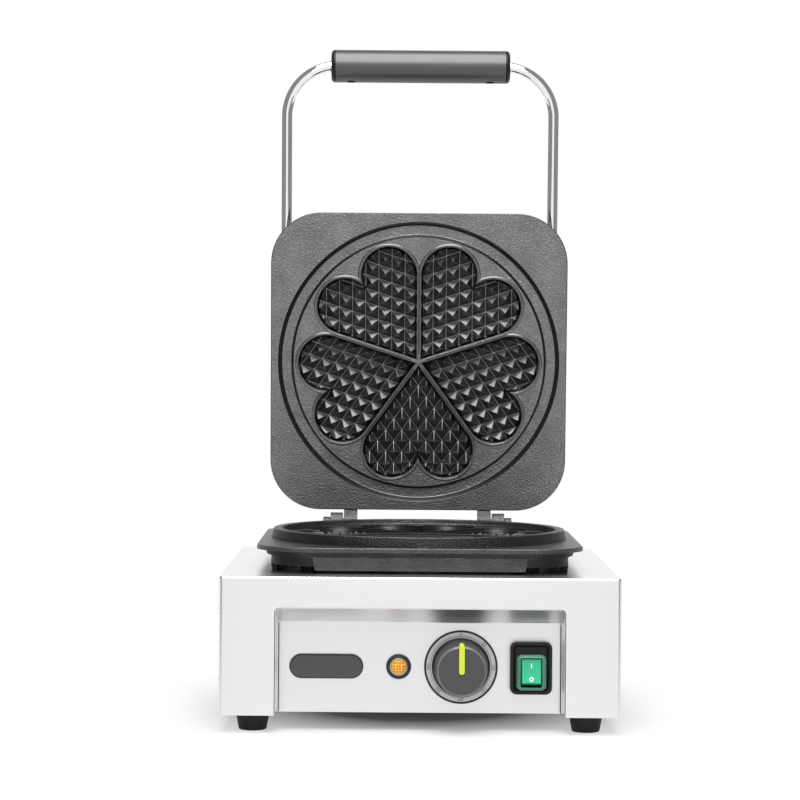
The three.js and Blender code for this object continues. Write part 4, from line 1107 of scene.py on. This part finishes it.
def lower_plate():
    crest, foot = WELL_DEPTH, -LAND_RISE
    collar = filleted([(COLLAR_FOOT, foot), (COLLAR_CREST, crest), (WELL_RADIUS, crest), (WELL_RADIUS, 0)],
                      COLLAR_ROUND, closed=False)
    well = bend_profile(WELL_RADIUS, -WELL_FILLET, 0, FILLET_STEPS)
    profile = [(0, foot - COLLAR_SINK), (COLLAR_FOOT, foot - COLLAR_SINK), *collar[:-1], *well, (0, 0)]
    whole = join(moved(plate_blank(RIM_DEPTH), shift(0, 0, -LAND_RISE), turn(pi, 'Y')),
                 lathe(profile, 2 * ROUND))
    underside = -LAND_RISE - RIM_DEPTH
    wall_x, wall_y = PLATE_WIDTH / 2 - BODY_INSET, PLATE_DEPTH / 2 - BODY_INSET
    half, spread_half = SKIRT_WIDTH / 2, SKIRT_WIDTH / 2 + SKIRT_SPREAD
    skirt_low, skirt_top = underside - SKIRT_DROP, -LAND_RISE - COVE_DEPTH - GAP
    skirt = filleted([(-half, skirt_low), (half, skirt_low), (spread_half, skirt_top),
                      (-spread_half, skirt_top)], SKIRT_ROUND)
    across = prism(skirt, -SKIRT_THICKNESS / 2, SKIRT_THICKNESS / 2, ALONG_Y)
    out = SKIRT_PROUD - SKIRT_THICKNESS / 2
    for _, side in SIDES:
        whole = join(whole, moved(across, shift(0, side * (wall_y + out))),
                     moved(across, shift(side * (wall_x + out)), turn(QUARTER, 'Z')))
    foot_low, root = underside - PLATE_STAND + GAP, underside + LEG_ROOT
    leg = rect_loft(LEG_THICKNESS, LEG_LENGTH, LEG_CORNER, [(0, foot_low), (0, root)], TIGHT_STEPS)
    legs = at_corners(wall_x - LEG_THICKNESS / 2, PLATE_DEPTH / 2 - LEG_SETBACK - LEG_LENGTH / 2)
    for leg_place, boss_place in zip(legs, at_corners(BOLT_SPREAD / 2, BOLT_SPREAD / 2)):
        whole = join(whole, moved(leg, leg_place), cylinder(BOSS_RADIUS, foot_low, root, boss_place))
    arm = [(-HINGE_SETBACK, -LAND_RISE - EDGE_ROUND),
           (-HINGE_SETBACK - LIP_INSET - ARM_ROOT, -LAND_RISE - EDGE_ROUND),
           (-HINGE_SETBACK - BODY_INSET - ARM_ROOT, -LAND_RISE - RIM_DEPTH + EDGE_ROUND)]
    whole = with_eyes(whole, arm, KNUCKLE_START, KNUCKLE_WIDTH, shift(0, LID_MIDDLE))
    plate = piece("lower_plate", cut_hearts(whole, -1), "black_iron black_pocket_iron collar_iron", "base",
                  LOWER, "lower_waffle_plate", smooth=CAST_SMOOTH_BELOW)
    paint_plate(plate, -1)


def upper_plate():
    back = UPPER_THICKNESS
    inner, outer = GROOVE_INNER - GROOVE_DRAFT, GROOVE_OUTER + GROOVE_DRAFT
    groove = filleted([(inner - OVERRUN, -OVERRUN), (inner - GROOVE_ROUND, 0), (GROOVE_INNER, GROOVE_DEPTH),
                       (outer - GROOVE_OUTER_DRAFT, GROOVE_DEPTH), (outer, 0), (outer + OVERRUN, -OVERRUN)],
                      GROOVE_ROUND, closed=False)
    channel = rectangle(HEATER_RING - HEATER_HALF, HEATER_RING + HEATER_HALF, back - HEATER_GROOVE,
                        back + OVERRUN)
    whole = cut(plate_blank(back), lathe(groove, 2 * ROUND), lathe(channel))
    arm = [(-HINGE_SETBACK - BODY_INSET - ARM_ROOT, FACE_GAP + COVE_DEPTH + ARM_ROOT),
           (-HINGE_SETBACK - BODY_INSET - ARM_ROOT, FACE_GAP + EDGE_ROUND),
           (-HINGE_SETBACK, FACE_GAP + EDGE_ROUND)]
    whole = with_eyes(whole, arm, LUG_START, LUG_WIDTH, shift(0, LID_MIDDLE, -FACE_GAP))
    plate = piece("upper_plate", cut_hearts(whole, 1), "land_iron pocket_iron black_iron", "lid", UPPER,
                  "upper_waffle_plate", smooth=CAST_SMOOTH_BELOW)
    paint_plate(plate, 1)


def hinge_pins():
    end = KNUCKLE_START + KNUCKLE_WIDTH + GAP
    profile = filleted([(0, LUG_START + OVERRUN), (HINGE_PIN, LUG_START + OVERRUN), (HINGE_PIN, end),
                        (HINGE_HEAD, end), (HINGE_HEAD, end + HINGE_HEAD_LENGTH),
                        (0, end + HINGE_HEAD_LENGTH)], HINGE_HEAD_ROUND)
    for name, side in SIDES:
        piece("pin_" + name, moved(lathe(profile, SMALL), turn(side * QUARTER, 'Y')), "pin_steel", "base",
              HINGE, "hinge_pin_" + name)


# Lid

def lid_cover():
    inner, top = COVER_INSET + COVER_SHEET, COVER_HEIGHT - COVER_SHEET
    rear = PLATE_DEPTH / 2 - COVER_INSET
    lead = cylinder(LEAD_HOLE, -rear - OVERRUN, -rear + COVER_SHEET + OVERRUN,
                    shift(0, 0, COVER_HEIGHT / 2), ALONG_Y)
    screws = [cylinder(LID_SCREW_RADIUS, top - OVERRUN, COVER_HEIGHT + OVERRUN, place)
              for place in at_corners(PILLAR_X, PILLAR_Y)]
    whole = cut(plate_loft([(COVER_INSET, 0), *bend_profile(COVER_INSET, COVER_BEND, COVER_HEIGHT)]),
                plate_loft([(inner, -OVERRUN), *bend_profile(inner, COVER_BEND - COVER_SHEET, top)]),
                lead, *screws)
    piece("cover", whole, "stainless", "lid", UPPER @ shift(0, 0, UPPER_THICKNESS + GAP), "lid_cover")


def handle_rod():
    bend_y = -GRIP_REACH + ROD_BEND
    path = [(-ROD_X, -ROD_END, 0)]
    path += [(-ROD_X + ROD_BEND * (1 - cos(angle)), bend_y - ROD_BEND * sin(angle), 0)
             for angle in quarter_angles(ROD_STEPS)]
    path += [(-x, y, z) for x, y, z in reversed(path)]
    piece("rod", tube(path, ROD_RADIUS), "chrome", "lid", HANDLE, "handle_rod")


def handle_grip():
    half = GRIP_LENGTH / 2
    profile = filleted(rectangle(GRIP_BORE, GRIP_RADIUS, -half, half), GRIP_ROUND, GRIP_STEPS)
    sleeve = moved(lathe(profile), shift(0, -GRIP_REACH), turn(QUARTER, 'Y'))
    low, high = -GRIP_RADIUS - OVERRUN, GRIP_SCREW_SINK - GRIP_RADIUS
    seats = [cylinder(GRIP_SCREW_HEAD + GRIP_SCREW_AIR, low, high, shift(side * GRIP_SCREW_X, -GRIP_REACH),
                      turn(GRIP_SCREW_TURN, 'X')) for _, side in SIDES]
    grip = piece("grip", cut(sleeve, *seats), "grip_plastic black_plastic", "lid", HANDLE, "handle_grip")
    paint(grip, lambda _, normal: abs(normal.x) > GRIP_END_SHARE)
    seat = high - GAP
    face = seat - GRIP_SCREW_HEIGHT
    head = filleted(rectangle(0, GRIP_SCREW_HEAD, seat, face), GRIP_SCREW_ROUND)
    slot = block(-SLOT_HALF, SLOT_HALF, -SLOT_REACH, SLOT_REACH, face - OVERRUN, face + SLOT_DEPTH)
    for name, side in SIDES:
        screw = cut(lathe(head, SMALL), slot, moved(slot, turn(QUARTER, 'Z')))
        place = HANDLE @ shift(side * GRIP_SCREW_X, -GRIP_REACH) @ turn(GRIP_SCREW_TURN, 'X')
        piece("grip_head_" + name, screw, "plain_steel", "lid", place, "grip_screw_" + name)


def saddles():
    start = PLATE_WIDTH / 2 - COVER_INSET + GAP
    end = start + SADDLE_WALL
    reach = ROD_RADIUS + SADDLE_FOOT
    hollow = ROD_RADIUS + SADDLE_AIR
    hump = hollow + SADDLE_WALL
    swing = acos((end - ROD_X) / hump)
    outline = [(start, -reach), (end, -reach), *arc(ROD_X, 0, hump, -swing, swing, EYE_STEPS),
               (end, reach), (start, reach)]
    half = SADDLE_LENGTH / 2
    strap = prism(outline, -half, half, ALONG_Y)
    bore = cylinder(hollow, -half - OVERRUN, half + OVERRUN, shift(ROD_X), ALONG_Y)
    open_side = block(start - OVERRUN, ROD_X, -half - OVERRUN, half + OVERRUN, -hollow, hollow)
    for name, side in SIDES:
        for end_name, distance in SADDLE_PLACES:
            place = HANDLE @ shift(0, -distance) @ turn(pi if side < 0 else 0, 'Z')
            made_name = "saddle_%s_%s" % (end_name, name)
            piece(made_name, cut(strap, bore, open_side), "stainless", "lid", place, "handle_" + made_name)


# Controls, with the panel's face at z = 0 and z towards the user

def badge():
    low, high = GAP, GAP + BADGE_THICKNESS
    sizes = BADGE_WIDTH, BADGE_HEIGHT, BADGE_HEIGHT / 2
    profile = filleted([(0, low), (0, high), (BADGE_BORDER, high)], BADGE_BORDER / 2, closed=False)
    face = [(BADGE_BORDER, high - LEAST), (BADGE_BORDER, high + LEAST)]
    # The badge's near-black body shows as a border round its grey face, a painted shadow; the face sits
    # lower, so the painted shadow is wider along the top.
    piece("badge", rect_loft(*sizes, profile), "badge_painted_shadow", "base", PANEL @ shift(BADGE_X), "badge_plate")
    piece("badge_face", rect_loft(*sizes, face), "badge_grey", "base",
          PANEL @ shift(BADGE_X, -BADGE_SHADOW_SHIFT))


def lamp():
    foot, rim = GAP, GAP + LAMP_THICKNESS
    floor_z = foot + LAMP_SEAT
    seat = LENS_RADIUS + LAMP_TRIM + GAP
    bezel = filleted([
        (0, -LAMP_BARREL_LENGTH), (LAMP_BARREL, -LAMP_BARREL_LENGTH), (LAMP_BARREL, foot),
        (LAMP_BEZEL, foot), (LAMP_BEZEL, rim - LAMP_CHAMFER), (LAMP_BEZEL - LAMP_CHAMFER, rim),
        (seat, rim), (seat, floor_z), (0, floor_z),
    ], LAMP_TRIM / 2)
    piece("bezel", lathe(bezel), "bezel_plastic", "base", AT_LAMP, "lamp_bezel")
    trim = filleted(rectangle(LENS_RADIUS + LEAST, seat - LEAST, floor_z, rim + LEAST), LAMP_TRIM / 2)
    piece("lamp_trim", lathe(trim), "plain_steel", "base", AT_LAMP)
    foot_z, top = LENS_LOW + LENS_WALL, LENS_LOW + LENS_RISE
    dome = [(LENS_RADIUS * cos(angle), foot_z + (LENS_RISE - LENS_WALL) * sin(angle))
            for angle in quarter_angles(DOME_STEPS)[:-1]]
    points, faces = lathe([(0, LENS_LOW), (LENS_RADIUS, LENS_LOW), *dome, (0, top)])
    shaped = []
    for x, y, z in points:
        wave = cos(LENS_RIBS * atan2(y, x)) + cos(2 * pi * hypot(x, y) / LENS_GRID)
        drop = LENS_RIPPLE * (2 + wave) / 4 if z > foot_z + LEAST else 0
        shaped.append((x, y, z - drop))
    piece("lens", (shaped, faces), "amber", "base", AT_LAMP, "lamp_lens")


def dial_number(number, place):
    name = "number_%d" % number
    curve = with_settings(bpy.data.curves.new(name, 'FONT'), body=str(number), size=NUMBER_SIZE * MM,
                          extrude=NUMBER_HEIGHT * MM, align_x='CENTER', align_y='CENTER')
    source = linked(name + "_curve", curve)
    mesh = evaluated_mesh(source)
    bpy.data.objects.remove(source)
    piece(name, linked(name, mesh), "ink", "base", place)


def dial():
    low, high = GAP, GAP + DIAL_THICKNESS
    inner, scale_end = KNOB_RADIUS + KNOB_AIR, DIAL_RADIUS - DIAL_EDGE
    ring = filleted(rectangle(inner, DIAL_RADIUS, low, high), DIAL_THICKNESS / 2)
    piece("dial", lathe(ring, 2 * ROUND), "dial_silver", "base", AT_DIAL, "dial_ring")
    edge = filleted(rectangle(scale_end, DIAL_RADIUS, high - LEAST, high + LEAST), LEAST)
    piece("dial_edge", lathe(edge, 2 * ROUND), "ink", "base", AT_DIAL)
    for i, number in enumerate(range(0, DIAL_LAST + 1, DIAL_STEP)):
        dial_number(number, AT_DIAL @ turn(-i * QUARTER / 2, 'Z') @ shift(0, (inner + scale_end) / 2, high))


def knob():
    low, front = 2 * GAP, GAP + KNOB_LENGTH
    rim = KNOB_RADIUS - CAP_INSET
    cap_radius = rim - CAP_BEVEL
    side = filleted([
        (0, low), (KNOB_RADIUS, low), (KNOB_RADIUS, low + KNOB_SKIRT),
        (KNOB_RADIUS - CONE_FOOT_INSET, GAP + CONE_FOOT_RISE),
        (KNOB_RADIUS - CONE_TOP_INSET, GAP + CONE_TOP_RISE), (rim, front - CAP_BEVEL),
        (cap_radius, front - LEAST), (0, front - LEAST),
    ], CAP_BEVEL / 2)
    half = POINTER_WIDTH / 2 + GAP
    sunk, proud = front - POINTER_SUNK, front + POINTER_PROUD
    slot = block(-half, half, -half, rim + OVERRUN, sunk - GAP, front + OVERRUN)
    body = piece("knob", cut(lathe(side, 2 * ROUND), slot), "knob_side knob_edge", "knob", AT_DIAL,
                 "thermostat_knob")
    # The bevel round the cap gets a lighter grey: a painted highlight along the knob's front edge.
    paint(body, lambda middle, normal: (middle.z > front - CAP_BEVEL - CAP_RISE
                                        and KNOB_HIGHLIGHT_SHARE < normal.z < FLAT_SHARE))
    cap = cylinder(cap_radius, front - CAP_RISE, front, count=ROUND)
    piece("knob_cap", cut(cap, slot), "knob_plastic", "knob", AT_DIAL)
    outer = rim + POINTER_PROUD
    tip = front - POINTER_RETURN + GAP + POINTER_PROUD
    outline = filleted([(-half, sunk), (rim - POINTER_SUNK, sunk), (rim - POINTER_PROUD, tip),
                        (rim + 2 * POINTER_PROUD, tip), (outer, proud), (-half, proud)], POINTER_PROUD)
    length = outer + POINTER_PROUD + half
    plan = prism([(x, y + length / 2 - half) for x, y in rounded_rect(POINTER_WIDTH, length, POINTER_ROUND)],
                 low, front + OVERRUN)
    pointer = shared(prism(outline, -half, half, ALONG_X), plan)
    piece("pointer", pointer, "lime", "knob", AT_DIAL, "knob_pointer")


def rocker_well(low, high):
    half_x = ROCKER_WIDTH / 2 + ROCKER_SIDE_AIR
    half_y = ROCKER_HEIGHT / 2 + ROCKER_SWING_AIR
    return block(-half_x, half_x, -BOOT_LOW - half_y, -BOOT_LOW + half_y, low, high)


def switch():
    place = PANEL @ shift(SWITCH_X)
    low, floor_z, front = GAP, GAP + SWITCH_FLOOR, GAP + SWITCH_PROUD
    rim = 2 * SWITCH_RIM
    pocket_sizes = (SWITCH_WIDTH - rim, SWITCH_HEIGHT - rim, SWITCH_CORNER - SWITCH_RIM)
    outer = filleted([(0, low), (0, front), (SWITCH_RIM, front)], SWITCH_RIM / 2, closed=False)
    half_x, half_y = SWITCH_WIDTH / 2 - SWITCH_BODY_MARGIN, SWITCH_HEIGHT / 2 - SWITCH_BODY_MARGIN
    shell = join(rect_loft(SWITCH_WIDTH, SWITCH_HEIGHT, SWITCH_CORNER, outer),
                 block(-half_x, half_x, -half_y, half_y, -SWITCH_BODY_DEPTH, floor_z))
    pocket = rect_loft(*pocket_sizes, [(0, floor_z), (0, front - SWITCH_LEAD_IN), (-SWITCH_LEAD_IN, front),
                                       (-SWITCH_LEAD_IN, front + OVERRUN)])
    well = rocker_well(-ROCKER_BACK - 2 * OVERRUN, floor_z + OVERRUN)
    piece("switch_rim", cut(shell, pocket, well), "black_plastic", "base", place, "switch_frame")

    foot = floor_z + GAP
    flange, top = foot + BOOT_FLANGE, foot + BOOT_RISE
    dome = filleted([(0, foot), (0, top - BOOT_BEVEL), (BOOT_BEVEL, top), (BOOT_BEVEL + BOOT_RIM, top),
                     (BOOT_BEVEL + BOOT_DIP, top - BOOT_DIP)], BOOT_RIM, closed=False)
    skirt = [(GAP, foot), (GAP, flange - GAP), (2 * GAP, flange)]
    whole = join(moved(rect_loft(BOOT_WIDTH, BOOT_HEIGHT, BOOT_CORNER, dome), shift(0, -BOOT_LOW)),
                 rect_loft(*pocket_sizes, skirt, TIGHT_STEPS))
    boot = piece("boot", cut(whole, rocker_well(foot - OVERRUN, top + OVERRUN)), "boot_green black_plastic",
                 "base", place, "switch_boot")
    # Faces of the boot below the flange's top are painted black, a painted shade low in the frame's pocket;
    # the dome above stays green.
    paint(boot, lambda middle, _: middle.z < flange + LEAST)

    half = ROCKER_HEIGHT / 2
    shares = [1 - 2 * i / TIGHT_STEPS for i in range(TIGHT_STEPS + 1)]
    face = [(half * share, ROCKER_FACE + ROCKER_DISH * share ** 2) for share in shares]
    outline = [(-half - ROCKER_SIDE_AIR, -ROCKER_BACK), (half + ROCKER_SIDE_AIR, -ROCKER_BACK),
               (half + ROCKER_SKIRT, ROCKER_SKIRT_RISE), *face, (-half - ROCKER_SKIRT, ROCKER_SKIRT_RISE)]
    rocker = prism(outline, -ROCKER_WIDTH / 2, ROCKER_WIDTH / 2, ALONG_X)
    place = place @ shift(0, -BOOT_LOW, ROCKER_AXIS) @ turn(-ROCKER_TILT, 'X')
    piece("rocker_body", rocker, "rocker_green", "rocker", place, "switch_rocker")

    def on_face(y):
        rise = ROCKER_FACE + ROCKER_DISH * (y / half) ** 2 - MARK_DEPTH / 2
        return place @ shift(0, y, rise) @ turn(atan(2 * ROCKER_DISH * y / half ** 2), 'X')

    bar = prism(rounded_rect(MARK_LINE, MARK_HEIGHT, MARK_LINE / 2, TIGHT_STEPS), 0, MARK_DEPTH)
    piece("mark_on", bar, "white_ink", "rocker", on_face(MARK_ON_Y))
    ring = rectangle(MARK_HEIGHT / 2 - MARK_LINE, MARK_HEIGHT / 2, 0, MARK_DEPTH)
    piece("mark_off", lathe(ring, SMALL), "white_ink", "rocker", on_face(MARK_OFF_Y))


base_housing()
control_panel()
feet()
lower_plate()
upper_plate()
hinge_pins()
lid_cover()
handle_rod()
handle_grip()
saddles()
badge()
lamp()
dial()
knob()
switch()


# Plain CAD nodes that stay

PLAIN_NODES = {
    "plain_steel": ["bottom_cover", "lower_heater_clamp", "upper_heater_clamp", "lower_clamp_screw",
                    "upper_clamp_screw", "thermostat_body", "thermostat_shaft",
                    *(kind + corner for kind in ("foot_screw_", "bottom_screw_", "plate_bolt_", "lid_screw_")
                      for corner in CORNERS)],
    "heater_steel": ["lower_heater", "upper_heater"],
    "ceramic": ["terminal_block"],
    "black_plastic": ["cord_gland", "base_lead_gland", "lid_lead_gland"],
}
for skin, node_names in PLAIN_NODES.items():
    for node_name in node_names:
        dress(bpy.data.objects[node_name], skin)


# Stage

def emptied(owner):
    """A new material or world with its nodes taken out."""
    owner.use_nodes = True
    owner.node_tree.nodes.clear()
    return owner


def stage_face(name, corners, material):
    mesh = bpy.data.meshes.new(name)
    mesh.from_pydata(corners, [], [(0, 1, 2, 3)])
    made = linked(name, mesh)
    mesh.materials.append(material)
    return made


def seen(owner):
    """1 for rays of the camera, of gloss and of glass, and 0 for those that light."""
    rays = add_node(owner, "LightPath").outputs
    either = calculate(owner, 'MAXIMUM', rays["Is Camera Ray"], rays["Is Glossy Ray"])
    return calculate(owner, 'MAXIMUM', either, rays["Is Transmission Ray"])


def floor():
    """Floor that shows shadows near the object and turns white away from it."""
    material = emptied(bpy.data.materials.new("floor"))
    place = add_node(material, "TexCoord").outputs["Object"]
    distance = add_node(material, "VectorMath", {0: place}, operation='LENGTH').outputs["Value"]
    fade = add_node(material, "MapRange", {"Value": distance, "From Min": FADE_START, "From Max": FADE_END,
                                           "To Min": FADE_LEAST_SHARE})
    grey = add_node(material, "BsdfDiffuse", {"Color": (FLOOR_GREY, FLOOR_GREY, FLOOR_GREY, 1)})
    white = add_node(material, "Emission", {"Color": WHITE})
    share = calculate(material, 'MULTIPLY', fade, seen(material))
    mix = add_node(material, "MixShader", {"Fac": share, 1: grey, 2: white})
    add_node(material, "OutputMaterial", {"Surface": mix})
    corners = [(x, y, 0) for x, y in rectangle(-FLOOR_HALF, FLOOR_HALF, -FLOOR_HALF, FLOOR_HALF)]
    stage_face("floor", corners, material)


def card(name, corners, level):
    """Grey card round the object, which only its gloss shows."""
    material = emptied(bpy.data.materials.new(name))
    grey = add_node(material, "Emission", {"Color": (level, level, level, 1)})
    add_node(material, "OutputMaterial", {"Surface": grey})
    with_settings(stage_face(name, corners, material), visible_camera=False, visible_diffuse=False,
                  visible_shadow=False, visible_transmission=False)


def world():
    made = emptied(bpy.data.worlds.new("world"))
    dim = add_node(made, "Background", {"Color": WHITE, "Strength": AMBIENT})
    white = add_node(made, "Background", {"Color": WHITE})
    mix = add_node(made, "MixShader", {"Fac": seen(made), 1: dim, 2: white})
    add_node(made, "OutputWorld", {"Surface": mix})
    bpy.context.scene.world = made


def area_light(name, width, depth, power, place, target):
    made = linked(name, with_settings(bpy.data.lights.new(name, 'AREA'), shape='RECTANGLE', size=width,
                                      size_y=depth, energy=power))
    made.location = place
    made.rotation_euler = (Vector(target) - Vector(place)).to_track_quat('-Z', 'Y').to_euler()


def camera():
    made = linked("camera", with_settings(bpy.data.cameras.new("camera"), **CAMERA))
    made.matrix_world = shift(*CAMERA_PLACE) @ turn(QUARTER, 'X') @ turn(CAMERA_TURN, 'Z')
    bpy.context.scene.camera = made


floor()
for side_name, side_sign in SIDES:
    for part, near, far, low, high, level in CARDS:
        x = side_sign * CARD_X
        card("card_%s_%s" % (part, side_name),
             [(x, near, low), (x, far, low), (x, far, high), (x, near, high)], level)
card("card_over", [(x, y, CARD_TOP) for x, y in rectangle(-CARD_X, CARD_X, OVER_NEAR, CARD_FAR)], OVER_LEVEL)
world()
for light in LAMPS:
    area_light(*light)
camera()
bpy.context.scene.view_settings.view_transform = 'Standard'
